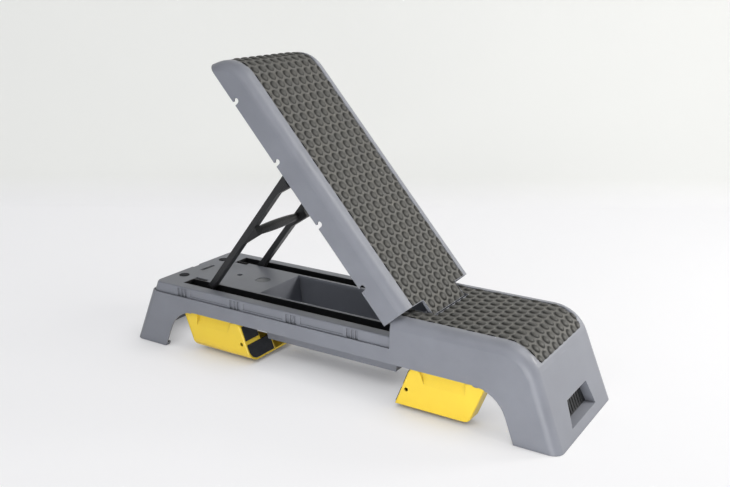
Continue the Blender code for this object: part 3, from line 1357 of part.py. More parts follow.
for leg_side, leg_name in ((-1, "leg_left"), (1, "leg_right")):
    leg_home = (leg_pivot_x(leg_side), 0.0, LEG_PIVOT_Z)
    make_leg(leg_side, leg_name, joint_axis(f"{leg_name}_axis", leg_home))
    make_leg_pins(leg_side, leg_name)
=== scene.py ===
"""Looks of an aerobic step with a reclining backrest: finishes, studded mats and a plain studio.

Metres, +Z up. +X points to the seat end and -Y to the front side, as in the frame.
"""
import json
import math

import bmesh
import bpy
from bpy.props import FloatProperty, FloatVectorProperty, IntProperty, PointerProperty, StringProperty
from bpy.types import Operator, Panel, PropertyGroup
from mathutils import Matrix, Vector


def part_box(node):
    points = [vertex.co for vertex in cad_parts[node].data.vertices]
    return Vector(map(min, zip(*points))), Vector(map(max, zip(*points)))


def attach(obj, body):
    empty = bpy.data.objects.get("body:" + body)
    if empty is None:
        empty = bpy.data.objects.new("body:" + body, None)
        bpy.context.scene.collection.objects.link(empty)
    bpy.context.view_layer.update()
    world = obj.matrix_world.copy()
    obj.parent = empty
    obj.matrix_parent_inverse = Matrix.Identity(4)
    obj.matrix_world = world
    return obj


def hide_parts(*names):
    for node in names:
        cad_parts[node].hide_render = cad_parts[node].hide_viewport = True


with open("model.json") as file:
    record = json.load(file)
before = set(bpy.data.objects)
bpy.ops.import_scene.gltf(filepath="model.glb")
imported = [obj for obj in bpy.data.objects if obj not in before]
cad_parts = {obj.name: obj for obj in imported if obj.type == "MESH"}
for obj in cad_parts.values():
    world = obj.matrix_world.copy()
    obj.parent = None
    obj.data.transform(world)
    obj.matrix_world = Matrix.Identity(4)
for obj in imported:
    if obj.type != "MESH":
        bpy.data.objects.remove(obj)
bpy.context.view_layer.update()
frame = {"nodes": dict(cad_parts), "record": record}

bl_info = {
    "name": "Aerobic Step Finish",
    "version": (1, 0, 0),
    "blender": (4, 5, 0),
    "location": "View3D > Sidebar > Aerobic Step",
    "description": "Gives the packed aerobic step its finishes, its studded mats and a plain studio",
    "category": "Object",
}

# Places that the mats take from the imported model
HINGE = next(joint for joint in frame["record"]["behaviour"]["joints"]
             if joint["name"] == "backrest_hinge")
HINGE_PLACE = Vector(HINGE["pos_m"])
TOP_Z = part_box("base_shell")[1][2]

# Mats: places in metres, with the backrest lying closed
BACKREST_ANGLE = math.radians(48.5)    # from closed to where the photo shows it
SHOULDER_X = 0.42346                   # where the top starts to curve down to each end
SHOULDER_RADIUS = 0.080
SHOULDER_SWEEP = math.radians(57)      # how far the mats follow that curve
MAT_HALF = 0.1165                      # half the mats' width
MAT_CORNER = 0.014                     # radius of their end corners
LEFT_EDGE = 0.1709                     # lower edge of the backrest's mat beside its tongue
TONGUE_EDGE = 0.2091                   # end of the tongue
TONGUE_HALF = 0.0716
SEAT_EDGE = 0.1771                     # where the seat's mat starts, beside its notch
NOTCH_EDGE = 0.2466                    # bottom of the notch that the tongue lies in
NOTCH_HALF = 0.0758
MAT_BASE = 0.0015                      # from the top down to the mats' underside
STUD_FULLNESS = 0.6                    # power of the studs' domes: below 1 the crown is fuller
STUD_SWELL = 0.0025                    # height that the shading adds to a stud

# Opening under the beam, which the bosses of the legs' pins are trimmed back to
LEFT_ARCH = 0.4545                     # from the middle to its end on the floor
RIGHT_ARCH = 0.4603
ARCH_TOP = 0.1018
ARCH_RADIUS = 0.080
ARCH_LEAN = math.radians(21.43)        # of its sides, from upright
ARCH_STEPS = 16
BOSS_BAND = (0.1393, 0.20)             # the trimmed band on each side, out from the middle

# Dark disc in the deck's round recess, a painted shade of the recess
DISC_X = -0.2703
DISC_FLOOR = 0.1574                    # height of the recess's floor
DISC_RADIUS = 0.0178
DISC_THICK = 0.0008
DISC_BEVEL = 0.0003                    # width of the slopes on both sides of the rim
DISC_RIM = 0.0011                      # from the disc's edge in to the end of the rim's top
DISC_SINK = 0.0002                     # from the rim's top down to the face inside it
DISC_STEPS = 64

# Rounded lower edge of each leg and of the pad on it
LEG_HALF = 0.1380                      # half the legs' width
LEG_LOW = 0.008                        # height of their underside
LEG_ROUND = 0.0260
PAD_RIM = 0.0050                       # thickness of the rounded wall, and the rim round each pad
ROUND_STEPS = 12

# Tools that shape the mouldings
TOOL_HALF = 0.5                        # half the length of a tool that is longer than any leg
TOOL_MARGIN = 0.01                     # how far a tool reaches past what it cuts
SAME_PLACE = 1e-6                      # corners that are closer than this are one
FLAT_ANGLE = math.radians(0.2)         # faces that meet at less than this become one

# Scales of the patterns, in cycles per metre
FLOW_SCALE = 14.0                      # shades of about 70 mm, from the plastic's flow in the mould
SCUFF_SCALE = 160.0                    # rubbed patches of about 6 mm along worn edges
DUST_SCALE = 26.0                      # patches of dust of about 40 mm
ZINC_SCALE = 220.0                     # clouds of about 5 mm in the plating
RING_SCALE = 260.0                     # rings 1.2 mm apart; real ones, of about 0.2 mm, don't show
FIBRE_SCALE = 3.0                      # shades of about 330 mm on the studio's paper

# Studio sheet: floor, bend and wall, in metres along the camera's level view and across it
SHEET_FRONT = 6.0                      # from the origin to its edge behind the camera
SHEET_WALL = 1.58                      # from the origin to the wall
SHEET_HEIGHT = 5.0
SHEET_BEND = 0.10
SHEET_HALF = 8.0
BEND_STEPS = 24
SHADE_REACH = 0.10                     # how far from the step the paper darkens

# Camera
SENSOR_MM = 36.0
VIEW_END = 50.0

# Lamps: word in the settings, place, aim, width, depth and tint
WARM = (1.0, 0.975, 0.93)
PLAIN = (1.0, 1.0, 1.0)
LAMPS = (
    ("key", (1.35, 0.1, 2.05), (0.1, 0.0, 0.2), 1.2, 1.2, WARM),
    ("side", (1.9, 1.6, 1.2), (0.2, 0.0, 0.3), 0.7, 0.7, WARM),
    ("window", (0.1, -2.0, 1.9), (0.1, 0.0, 0.2), 2.2, 0.35, PLAIN),
    ("fill", (1.05, -1.95, 0.15), (0.0, 0.0, 0.12), 1.5, 0.26, PLAIN),
)


def srgb(code):
    """Linear colour from an sRGB hex value."""
    channels = [int(code[i:i + 2], 16) / 255 for i in (1, 3, 5)]
    linear = [c / 12.92 if c <= 0.04045 else ((c + 0.055) / 1.055) ** 2.4 for c in channels]
    return (*linear, 1.0)


def add_node(tree, kind, inputs=None, **settings):
    """A node with its settings; each input is a value or the output socket that feeds it."""
    node = tree.nodes.new(kind)
    for name, value in settings.items():
        setattr(node, name, value)
    for name, value in (inputs or {}).items():
        if isinstance(value, bpy.types.NodeSocket):
            tree.links.new(value, node.inputs[name])
        else:
            node.inputs[name].default_value = value
    return node


def ramp_stops(node, stops):
    """Sets a colour ramp's stops from pairs of position and colour."""
    elements = node.color_ramp.elements
    while len(elements) > 1:
        elements.remove(elements[-1])
    elements[0].position, elements[0].color = stops[0]
    for position, colour in stops[1:]:
        elements.new(position).color = colour
    return node


def new_material(name):
    """An empty node material with its shader and output."""
    made = bpy.data.materials.new(name)
    made.use_nodes = True
    tree = made.node_tree
    tree.nodes.clear()
    shader = add_node(tree, "ShaderNodeBsdfPrincipled")
    add_node(tree, "ShaderNodeOutputMaterial", {"Surface": shader.outputs["BSDF"]})
    return made, tree, shader


def moulded_plastic(name, base, worn_and_highlight, roughness, grain_mm, relief_mm, wear_mm,
                    mottle=0.06, corner_shade=0.6):
    """Injection moulded plastic: fine spark grain, faint flow shades, and edges rubbed paler, which
    also paints a highlight.

    Mottle is the share by which the flow shades differ; the last argument tones the painted shade in
    corners.
    """
    made, tree, shader = new_material(name)
    place = add_node(tree, "ShaderNodeTexCoord").outputs["Object"]
    grain = add_node(tree, "ShaderNodeTexNoise", {
        "Vector": place, "Scale": 1000 / grain_mm, "Detail": 3.0, "Roughness": 0.6})
    flow = add_node(tree, "ShaderNodeTexNoise", {
        "Vector": place, "Scale": FLOW_SCALE, "Detail": 4.0, "Roughness": 0.55})
    scuff = add_node(tree, "ShaderNodeTexNoise", {
        "Vector": place, "Scale": SCUFF_SCALE, "Detail": 5.0, "Roughness": 0.7})
    shade = add_node(tree, "ShaderNodeMapRange", {
        "Value": flow.outputs["Fac"], "From Min": 0.3, "From Max": 0.7,
        "To Min": 1.0 - mottle, "To Max": 1.0 + mottle})
    speck = add_node(tree, "ShaderNodeMapRange", {
        "Value": grain.outputs["Fac"], "From Min": 0.3, "From Max": 0.7,
        "To Min": 0.985, "To Max": 1.015})
    both = add_node(tree, "ShaderNodeMath", {
        0: shade.outputs["Result"], 1: speck.outputs["Result"]}, operation="MULTIPLY")
    # Painted shade: corners and recesses are darkened, as where less light reaches them.
    corner = add_node(tree, "ShaderNodeAmbientOcclusion", {"Distance": 0.014}, samples=4)
    painted_corner_shade = add_node(tree, "ShaderNodeMapRange", {
        "Value": corner.outputs["AO"], "From Min": 0.25, "From Max": 0.85,
        "To Min": corner_shade, "To Max": 1.0})
    both = add_node(tree, "ShaderNodeMath", {
        0: both.outputs["Value"], 1: painted_corner_shade.outputs["Result"]}, operation="MULTIPLY")
    tone = add_node(tree, "ShaderNodeVectorMath", {
        0: srgb(base)[:3], "Scale": both.outputs["Value"]}, operation="SCALE")
    # Edges turn paler: rubbed wear, and also a painted highlight along every edge.
    rounded = add_node(tree, "ShaderNodeBevel", {"Radius": wear_mm / 1000}, samples=6)
    facing = add_node(tree, "ShaderNodeNewGeometry").outputs["Normal"]
    turn = add_node(tree, "ShaderNodeVectorMath", {
        0: rounded.outputs["Normal"], 1: facing}, operation="DOT_PRODUCT")
    edge = add_node(tree, "ShaderNodeMapRange", {
        "Value": turn.outputs["Value"], "From Min": 0.995, "From Max": 0.80,
        "To Min": 0.0, "To Max": 1.0})
    patchy = add_node(tree, "ShaderNodeMapRange", {
        "Value": scuff.outputs["Fac"], "From Min": 0.42, "From Max": 0.62,
        "To Min": 0.15, "To Max": 0.75})
    wear_and_edge_highlight = add_node(tree, "ShaderNodeMath", {
        0: edge.outputs["Result"], 1: patchy.outputs["Result"]}, operation="MULTIPLY")
    colour = add_node(tree, "ShaderNodeMix", {
        "Factor": wear_and_edge_highlight.outputs["Value"], 6: tone.outputs["Vector"],
        7: srgb(worn_and_highlight)}, data_type="RGBA")
    tree.links.new(colour.outputs[2], shader.inputs["Base Color"])
    rough = add_node(tree, "ShaderNodeMapRange", {
        "Value": flow.outputs["Fac"], "From Min": 0.3, "From Max": 0.7,
        "To Min": roughness - 0.05, "To Max": roughness + 0.06})
    polish = add_node(tree, "ShaderNodeMath", {
        0: wear_and_edge_highlight.outputs["Value"], 1: -0.12, 2: rough.outputs["Result"]}, operation="MULTIPLY_ADD")
    tree.links.new(polish.outputs["Value"], shader.inputs["Roughness"])
    bump = add_node(tree, "ShaderNodeBump", {
        "Height": grain.outputs["Fac"], "Distance": relief_mm / 1000, "Strength": 0.6,
        "Normal": rounded.outputs["Normal"]})
    tree.links.new(bump.outputs["Normal"], shader.inputs["Normal"])
    shader.inputs["IOR"].default_value = 1.49
    return made


def moulded_rubber(name, base, dust, roughness, grain_mm, relief_mm, stud=None):
    """Moulded rubber: fine matte grain, dust that pales it in patches, and studs darker, partly as
    painted shade.
    """
    made, tree, shader = new_material(name)
    place = add_node(tree, "ShaderNodeTexCoord").outputs["Object"]
    grain = add_node(tree, "ShaderNodeTexNoise", {
        "Vector": place, "Scale": 1000 / grain_mm, "Detail": 4.0, "Roughness": 0.65})
    patch = add_node(tree, "ShaderNodeTexNoise", {
        "Vector": place, "Scale": DUST_SCALE, "Detail": 5.0, "Roughness": 0.6})
    mix = add_node(tree, "ShaderNodeMath", {
        0: patch.outputs["Fac"], 1: grain.outputs["Fac"]}, operation="MULTIPLY")
    dusty = add_node(tree, "ShaderNodeMapRange", {
        "Value": mix.outputs["Value"], "From Min": 0.18, "From Max": 0.38,
        "To Min": 0.0, "To Max": 0.45})
    colour = add_node(tree, "ShaderNodeMix", {
        "Factor": dusty.outputs["Result"], 6: srgb(base), 7: srgb(dust)}, data_type="RGBA")
    rough = add_node(tree, "ShaderNodeMapRange", {
        "Value": grain.outputs["Fac"], "From Min": 0.3, "From Max": 0.7,
        "To Min": roughness - 0.07, "To Max": roughness + 0.07})
    bump = add_node(tree, "ShaderNodeBump", {
        "Height": grain.outputs["Fac"], "Distance": relief_mm / 1000, "Strength": 0.7})
    if stud:
        raised = add_node(tree, "ShaderNodeAttribute", attribute_name="stud_share")
        swell = add_node(tree, "ShaderNodeBump", {
            "Height": raised.outputs["Fac"], "Distance": STUD_SWELL, "Strength": 1.0})
        tree.links.new(swell.outputs["Normal"], bump.inputs["Normal"])
        stud_darkness = add_node(tree, "ShaderNodeMapRange", {
            "Value": raised.outputs["Fac"], "From Min": 0.05, "From Max": 0.45,
            "To Min": 0.0, "To Max": 1.0})
        # The studs are darker rubber, darkest on their flanks as a painted shade of their sides,
        # lighter at the crown.
        crown = add_node(tree, "ShaderNodeMapRange", {
            "Value": raised.outputs["Fac"], "From Min": 0.55, "From Max": 0.98,
            "To Min": 1.0, "To Max": 0.45})
        flank_tone_and_shade = add_node(tree, "ShaderNodeMath", {
            0: stud_darkness.outputs["Result"], 1: crown.outputs["Result"]}, operation="MULTIPLY")
        colour = add_node(tree, "ShaderNodeMix", {
            "Factor": flank_tone_and_shade.outputs["Value"], 6: colour.outputs[2],
            7: srgb(stud)}, data_type="RGBA")
        rough = add_node(tree, "ShaderNodeMapRange", {
            "Value": stud_darkness.outputs["Result"],
            "To Min": rough.outputs["Result"], "To Max": roughness - 0.06})
    tree.links.new(colour.outputs[2], shader.inputs["Base Color"])
    tree.links.new(rough.outputs["Result"], shader.inputs["Roughness"])
    tree.links.new(bump.outputs["Normal"], shader.inputs["Normal"])
    shader.inputs["IOR"].default_value = 1.52
    shader.inputs["Specular IOR Level"].default_value = 0.3
    return made


def zinc_plated_steel(dull, bright):
    """Turned steel bar with a zinc plating: fine rings round the axis and a cloudy bloom."""
    made, tree, shader = new_material("zinc_plated_steel_turned")
    place = add_node(tree, "ShaderNodeTexCoord").outputs["Object"]
    cloud = add_node(tree, "ShaderNodeTexNoise", {
        "Vector": place, "Scale": ZINC_SCALE, "Detail": 4.0})
    rings = add_node(tree, "ShaderNodeTexWave", {
        "Vector": place, "Scale": RING_SCALE,
        "Distortion": 0.4}, wave_type="BANDS", bands_direction="Y")
    colour = ramp_stops(add_node(tree, "ShaderNodeValToRGB", {"Fac": cloud.outputs["Fac"]}),
                        ((0.35, srgb(dull)), (0.65, srgb(bright))))
    tree.links.new(colour.outputs["Color"], shader.inputs["Base Color"])
    rough = add_node(tree, "ShaderNodeMapRange", {
        "Value": cloud.outputs["Fac"], "To Min": 0.24, "To Max": 0.42})
    tree.links.new(rough.outputs["Result"], shader.inputs["Roughness"])
    bump = add_node(tree, "ShaderNodeBump", {
        "Height": rings.outputs["Fac"], "Distance": 0.00003, "Strength": 0.5})
    tree.links.new(bump.outputs["Normal"], shader.inputs["Normal"])
    shader.inputs["Metallic"].default_value = 1.0
    return made


def mesh_of(bm, name):
    """A mesh of what was drawn in bm, which is freed."""
    mesh = bpy.data.meshes.new(name)
    bm.to_mesh(mesh)
    bm.free()
    return mesh


def shade_round(mesh, sharp_degrees):
    """Smooth shading, but for edges whose faces meet at more than this angle."""
    mesh.shade_smooth()
    mesh.set_sharp_from_angle(angle=math.radians(sharp_degrees))


def linked(name, data):
    """An object for a mesh, lamp or camera, in the scene."""
    made = bpy.data.objects.new(name, data)
    bpy.context.scene.collection.objects.link(made)
    return made


def applied(drawn):
    """The mesh of an object with its modifiers done; the object itself goes."""
    depsgraph = bpy.context.evaluated_depsgraph_get()
    made = bpy.data.meshes.new_from_object(drawn.evaluated_get(depsgraph))
    bpy.data.objects.remove(drawn, do_unlink=True)
    return made


def prism(outline, axis, low, high):
    """A tool: an outline in the two other axes, drawn out along one axis."""
    bm = bmesh.new()
    places = [i for i in range(3) if i != axis]
    rings = []
    for reach in (low, high):
        ring = []
        for pair in outline:
            point = [reach] * 3
            point[places[0]], point[places[1]] = pair
            ring.append(bm.verts.new(point))
        rings.append(ring)
    bm.faces.new(rings[0])
    bm.faces.new(list(reversed(rings[1])))
    for index in range(len(outline)):
        after = (index + 1) % len(outline)
        bm.faces.new((rings[0][index], rings[1][index], rings[1][after], rings[0][after]))
    bmesh.ops.recalc_face_normals(bm, faces=bm.faces)
    return linked("tool", mesh_of(bm, "tool"))


def shaped(mesh, tool, operation):
    """The mesh after a Boolean with a tool object, which goes."""
    drawn = linked("drawn", mesh)
    step = drawn.modifiers.new("shape", "BOOLEAN")
    step.operation = operation
    step.solver = "EXACT"
    step.object = tool
    made = applied(drawn)
    bpy.data.objects.remove(tool, do_unlink=True)
    return made


def hull_of(node):
    """A tool with the convex outline of a node."""
    source = frame["nodes"][node]
    bm = bmesh.new()
    for corner in source.data.vertices:
        bm.verts.new(source.matrix_world @ corner.co)
    found = bmesh.ops.convex_hull(bm, input=bm.verts)
    inner = [item for item in found["geom_interior"] if isinstance(item, bmesh.types.BMVert)]
    bmesh.ops.delete(bm, geom=inner, context="VERTS")
    bmesh.ops.recalc_face_normals(bm, faces=bm.faces)
    return linked("hull", mesh_of(bm, "hull"))


def smooth_copy(name, node, body, material, cutters=(), walls=()):
    """A piece of the node's own form, with its facets shaded as the rounds that they stand for.

    Cutters are tools that are taken off it. Walls are tools of which the part inside the node's
    convex outline is added to it.
    """
    source = frame["nodes"][node]
    bm = bmesh.new()
    bm.from_mesh(source.data)
    bm.transform(source.matrix_world)
    bmesh.ops.remove_doubles(bm, verts=bm.verts, dist=SAME_PLACE)
    mesh = mesh_of(bm, name)
    for cutter in cutters:
        mesh = shaped(mesh, cutter, "DIFFERENCE")
    for wall in walls:
        inside = shaped(wall.data, hull_of(node), "INTERSECT")
        bpy.data.objects.remove(wall, do_unlink=True)
        mesh = shaped(mesh, linked("wall", inside), "UNION")
    bm = bmesh.new()
    bm.from_mesh(mesh)
    bmesh.ops.dissolve_limit(bm, angle_limit=FLAT_ANGLE, verts=bm.verts, edges=bm.edges)
    mesh = mesh_of(bm, name)
    shade_round(mesh, sharp_degrees=26)
    drawn = linked("drawn", mesh)
    weighted = drawn.modifiers.new("flats_lead", "WEIGHTED_NORMAL")
    weighted.keep_sharp = True
    weighted.weight = 100
    shaded = applied(drawn)
    shaded.materials.clear()
    shaded.materials.append(material)
    piece = linked(name, shaded)
    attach(piece, body)
    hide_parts(node)


def dress(material, *names):
    """Put a finish on CAD nodes."""
    for name in names:
        node = frame["nodes"][name]
        node.data.materials.clear()
        node.data.materials.append(material)


def nodes_named(*starts):
    """Names of the CAD nodes that start with one of these words."""
    return [name for name in frame["nodes"] if name.startswith(starts)]


class StepMatSettings(PropertyGroup):
    """Sizes of the raised studs on the non-slip mats."""

    pitch_across: FloatProperty(
        name="Pitch across", description="Distance between studs in one row across the step",
        default=0.0263, min=0.010, max=0.060, subtype="DISTANCE", unit="LENGTH")
    pitch_along: FloatProperty(
        name="Pitch along", description="Distance between neighbouring rows along the step",
        default=0.0222, min=0.010, max=0.060, subtype="DISTANCE", unit="LENGTH")
    first_row: FloatProperty(
        name="First row", description="X of a row with a stud on the middle line, backrest closed",
        default=0.0980, subtype="DISTANCE", unit="LENGTH")
    stud_across: FloatProperty(
        name="Stud width", description="Diameter of a stud across the step",
        default=0.0215, min=0.004, max=0.040, subtype="DISTANCE", unit="LENGTH")
    stud_along: FloatProperty(
        name="Stud length", description="Diameter of a stud along the step",
        default=0.0215, min=0.004, max=0.040, subtype="DISTANCE", unit="LENGTH")
    stud_height: FloatProperty(
        name="Stud height", description="Height of a stud above the mat between the studs",
        default=0.0030, min=0.0, max=0.006, subtype="DISTANCE", unit="LENGTH")
    stud_top: FloatProperty(
        name="Stud top", description="Height of the stud tops above the moulding's top",
        default=0.0016, min=0.0, max=0.004, subtype="DISTANCE", unit="LENGTH")
    cell: FloatProperty(
        name="Mesh cell", description="Size of a mesh cell on the mats",
        default=0.0017, min=0.001, max=0.010, subtype="DISTANCE", unit="LENGTH")


class StepFinishSettings(PropertyGroup):
    """Colours of the finishes, as sRGB hex values."""

    # The edge colours below are rubbed wear and also a painted highlight along the edges.
    shell: StringProperty(
        name="Shells", description="Grey polypropylene of the mouldings", default="#858891")
    shell_wear_and_highlight: StringProperty(
        name="Shell edges", description="Rubbed edges of the grey mouldings", default="#A6A8AC")
    # The disc's dark colour is a painted shade of the deck's round recess.
    disc: StringProperty(
        name="Disc", description="Polished disc in the deck", default="#5F6268")
    disc_wear_and_highlight: StringProperty(
        name="Disc edge", description="Rubbed edge of the disc", default="#8B8D92")
    leg: StringProperty(
        name="Legs", description="Yellow polypropylene of the riser legs", default="#FFDC45")
    leg_wear_and_highlight: StringProperty(
        name="Leg edges", description="Rubbed edges of the legs", default="#FFE96A")
    black: StringProperty(
        name="Black parts", description="Black nylon of the strut and the rails", default="#1F2022")
    black_wear_and_highlight: StringProperty(
        name="Black edges", description="Rubbed edges of the black parts", default="#46474A")
    grip: StringProperty(
        name="Grip", description="Pebbled nylon of the grip", default="#131416")
    grip_wear_and_highlight: StringProperty(
        name="Grip edges", description="Rubbed edges of the grip", default="#3A3B3E")
    mat: StringProperty(
        name="Mats", description="Rubber of the non-slip mats between the studs", default="#626260")
    mat_dust: StringProperty(
        name="Mat dust", description="Dust on the mats", default="#6E6B64")
    # The studs' colour is darker rubber and also a painted shade on their flanks.
    stud: StringProperty(
        name="Studs", description="Rubbed flanks of the mats' studs", default="#282826")
    pad: StringProperty(
        name="Pads", description="Soft rubber of pads and bumpers", default="#2A2C31")
    pad_dust: StringProperty(
        name="Pad dust", description="Dust on pads and bumpers", default="#4A4C50")
    zinc_dull: StringProperty(
        name="Dull zinc", description="Clouds in the zinc plating", default="#B4B6B5")
    zinc_bright: StringProperty(
        name="Bright zinc", description="Zinc plating between the clouds", default="#D2D3D0")


class StepStageSettings(PropertyGroup):
    """Camera, floor and lamps of the studio."""

    camera_place: FloatVectorProperty(
        name="Camera", description="Place of the camera", default=(1.0497, -1.6482, 0.8787),
        subtype="TRANSLATION", unit="LENGTH")
    azimuth: FloatProperty(
        name="Azimuth", description="Turn of the view from the front towards the seat end",
        default=math.radians(31.94), subtype="ANGLE", unit="ROTATION")
    pitch: FloatProperty(
        name="Pitch", description="Angle of the view below level", default=math.radians(16.613),
        subtype="ANGLE", unit="ROTATION")
    roll: FloatProperty(
        name="Roll", description="Tilt of the picture", default=math.radians(0.28),
        subtype="ANGLE", unit="ROTATION")
    focal_pixels: FloatProperty(
        name="Focal length", description="Focal length in pixels of a picture 730 pixels wide",
        default=907.894, min=100.0)
    picture_width: IntProperty(
        name="Picture width", description="Width in pixels that the focal length is given for",
        default=730, min=16)
    floor: StringProperty(
        name="Floor", description="Pale floor", default="#F9F9FB")
    wall: StringProperty(
        name="Wall", description="Pale wall behind the step", default="#F1F2F0")
    room: StringProperty(
        name="Room", description="Tint of the even light from the room", default="#F7F8FA")
    paper_glow: FloatProperty(
        name="Paper glow", description="Share of the paper's own colour in what is seen of it",
        default=0.72, min=0.0, max=1.0, subtype="FACTOR")
    key: FloatProperty(
        name="Key lamp", description="Power of the large lamp above the seat end",
        default=23.0, min=0.0, unit="POWER")
    side: FloatProperty(
        name="Side lamp", description="Power of the lamp behind the seat end",
        default=30.0, min=0.0, unit="POWER")
    window: FloatProperty(
        name="Window lamp", description="Power of the long lamp high in front, as from a window",
        default=10.0, min=0.0, unit="POWER")
    fill: FloatProperty(
        name="Fill lamp", description="Power of the lamp low in front, as from a bright floor",
        default=22.0, min=0.0, unit="POWER")
    sky: FloatProperty(
        name="Room light", description="Strength of the even light from the room",
        default=0.22, min=0.0)


def arch_outline():
    """The opening under the beam: the bosses of the legs' pins are trimmed back to it."""
    bend = math.pi / 2 - ARCH_LEAN
    set_in = ARCH_TOP * math.tan(ARCH_LEAN) + ARCH_RADIUS * math.tan(bend / 2)
    curve = []
    for index in range(ARCH_STEPS + 1):
        turn = ARCH_LEAN + bend * index / ARCH_STEPS
        curve.append((ARCH_RADIUS * math.cos(turn),
                      ARCH_TOP - ARCH_RADIUS + ARCH_RADIUS * math.sin(turn)))
    right = [(RIGHT_ARCH - set_in + x, z) for x, z in curve]
    left = [(set_in - LEFT_ARCH - x, z) for x, z in reversed(curve)]
    return [(RIGHT_ARCH, 0.0)] + right + left + [(-LEFT_ARCH, 0.0)]


def corner_outline(side, half, low, radius):
    """What a round takes off a leg's long lower edge: side is -1 for the front, 1 for the back."""
    out = side * (half + TOOL_MARGIN)
    under = low - TOOL_MARGIN
    return ([(out, under), (side * (half - radius), under)]
            + quarter(side, half - radius, low + radius, radius) + [(out, low + radius)])


def quarter(side, y, z, radius):
    """A quarter circle from straight below its centre to straight beside it."""
    turns = [math.pi / 2 * index / ROUND_STEPS for index in range(ROUND_STEPS + 1)]
    return [(side * (y + radius * math.sin(turn)), z - radius * math.cos(turn)) for turn in turns]


def curved_wall(side, half, low, radius, wall):
    """The section of the wall that closes a leg's rounded edge."""
    inner = quarter(side, half - radius, low + radius, radius - wall)
    return quarter(side, half - radius, low + radius, radius) + inner[::-1]


def rimmed_disc():
    """The deck's dark disc, a painted shade of its round recess: a profile from the middle out over
    its rim, turned full circle.
    """
    face = DISC_THICK - DISC_SINK
    profile = ((0.0, 0.0), (DISC_RADIUS, 0.0), (DISC_RADIUS, DISC_THICK - DISC_BEVEL),
               (DISC_RADIUS - DISC_BEVEL, DISC_THICK), (DISC_RADIUS - DISC_RIM, DISC_THICK),
               (DISC_RADIUS - DISC_RIM - DISC_BEVEL, face), (0.0, face))
    bm = bmesh.new()
    corners = [bm.verts.new((reach, 0.0, height)) for reach, height in profile]
    edges = [bm.edges.new(pair) for pair in zip(corners, corners[1:])]
    bmesh.ops.spin(bm, geom=corners + edges, cent=(0.0, 0.0, 0.0), axis=(0.0, 0.0, 1.0),
                   angle=math.tau, steps=DISC_STEPS)
    bmesh.ops.remove_doubles(bm, verts=bm.verts, dist=SAME_PLACE)
    bmesh.ops.recalc_face_normals(bm, faces=bm.faces)
    bmesh.ops.translate(bm, verts=bm.verts, vec=(DISC_X, 0.0, DISC_FLOOR))
    return mesh_of(bm, "deck_disc")


class AEROBIC_OT_shells(Operator):
    """Finish the base, the deck and the backrest"""

    bl_idname = "aerobic.shells"
    bl_label = "Grey mouldings"

    def execute(self, context):
        finish = context.scene.step_finish
        # Polypropylene from a spark-eroded mould: a satin skin that scatters light in soft patches.
        # The grain of its kind is about 0.1 mm; it is drawn at 1.1 mm, the finest that still shows.
        grey = moulded_plastic("polypropylene_moulded_grey", finish.shell, finish.shell_wear_and_highlight,
                               roughness=0.42, grain_mm=1.1, relief_mm=0.05, wear_mm=1.2)
        smooth_copy("base_moulding", "base_shell", "base", grey,
                    [prism(arch_outline(), 1, *sorted(side * reach for reach in BOSS_BAND))
                     for side in (-1, 1)])
        smooth_copy("deck_moulding", "deck_tray", "base", grey)
        # The deck's round recess holds a polished disc of the same plastic with a raised rim, dark as
        # a painted shade.
        dark = moulded_plastic("polypropylene_polished_dark", finish.disc, finish.disc_wear_and_highlight,
                               roughness=0.30, grain_mm=1.1, relief_mm=0.02, wear_mm=0.4)
        mesh = rimmed_disc()
        shade_round(mesh, sharp_degrees=30)
        mesh.materials.append(dark)
        disc = linked("deck_disc", mesh)
        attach(disc, "base")
        smooth_copy("backrest_moulding", "backrest_shell", "backrest", grey)
        return {"FINISHED"}


class AEROBIC_OT_legs(Operator):
    """Finish the riser legs"""

    bl_idname = "aerobic.legs"
    bl_label = "Riser legs"

    def execute(self, context):
        finish = context.scene.step_finish
        # Polypropylene from a smoother mould: cleaner highlights than on the grey shells. The grain
        # of its kind is under 0.1 mm; it is drawn at 1.0 mm, so that it shows.
        # Its corners and recesses take a deeper painted shade than the grey mouldings.
        yellow = moulded_plastic("polypropylene_moulded_yellow", finish.leg, finish.leg_wear_and_highlight,
                                 roughness=0.34, grain_mm=1.0, relief_mm=0.03, wear_mm=1.0,
                                 mottle=0.03, corner_shade=0.42)
        # Both legs are one moulding, turned end for end: one of its long lower edges is rounded.
        for node, side in (("leg_left", -1), ("leg_right", 1)):
            corner = corner_outline(side, LEG_HALF, LEG_LOW, LEG_ROUND)
            wall = curved_wall(side, LEG_HALF, LEG_LOW, LEG_ROUND, PAD_RIM)
            smooth_copy(f"{node}_moulding", node, node, yellow,
                        [prism(corner, 0, -TOOL_HALF, TOOL_HALF)],
                        [prism(wall, 0, -TOOL_HALF, TOOL_HALF)])
        return {"FINISHED"}


class AEROBIC_OT_black_parts(Operator):
    """Finish the strut, its forks, the rails, the bushes and the plate in the hand hold"""

    bl_idname = "aerobic.black_parts"
    bl_label = "Black parts"

    def execute(self, context):
        finish = context.scene.step_finish
        # Moulded nylon: nearly black; a satin sheen, and edges painted paler as wear and highlight,
        # pick out every edge. The grain of its kind is about 0.1 mm; it is drawn at 0.9 mm, so that it
        # shows.
        black = moulded_plastic("nylon_moulded_black", finish.black, finish.black_wear_and_highlight,
                                roughness=0.44, grain_mm=0.9, relief_mm=0.04, wear_mm=0.9, mottle=0.10)
        dress(black, *nodes_named("strut_arm", "strut_fork", "strut_shoe", "rack_rail", "hinge_bush",
                                  "hand_hold_plate"))
        smooth_copy("cross_bar_moulding", "strut_cross_bar", "strut", black)
        # The grip's skin is pebbled for the hand: pebbles of about 2 mm that each catch some light.
        pebbled = moulded_plastic("nylon_moulded_pebbled", finish.grip, finish.grip_wear_and_highlight,
                                  roughness=0.50, grain_mm=2.4, relief_mm=1.6, wear_mm=0.9,
                                  mottle=0.25)
        smooth_copy("grip_moulding", "strut_grip", "strut", pebbled)
        return {"FINISHED"}


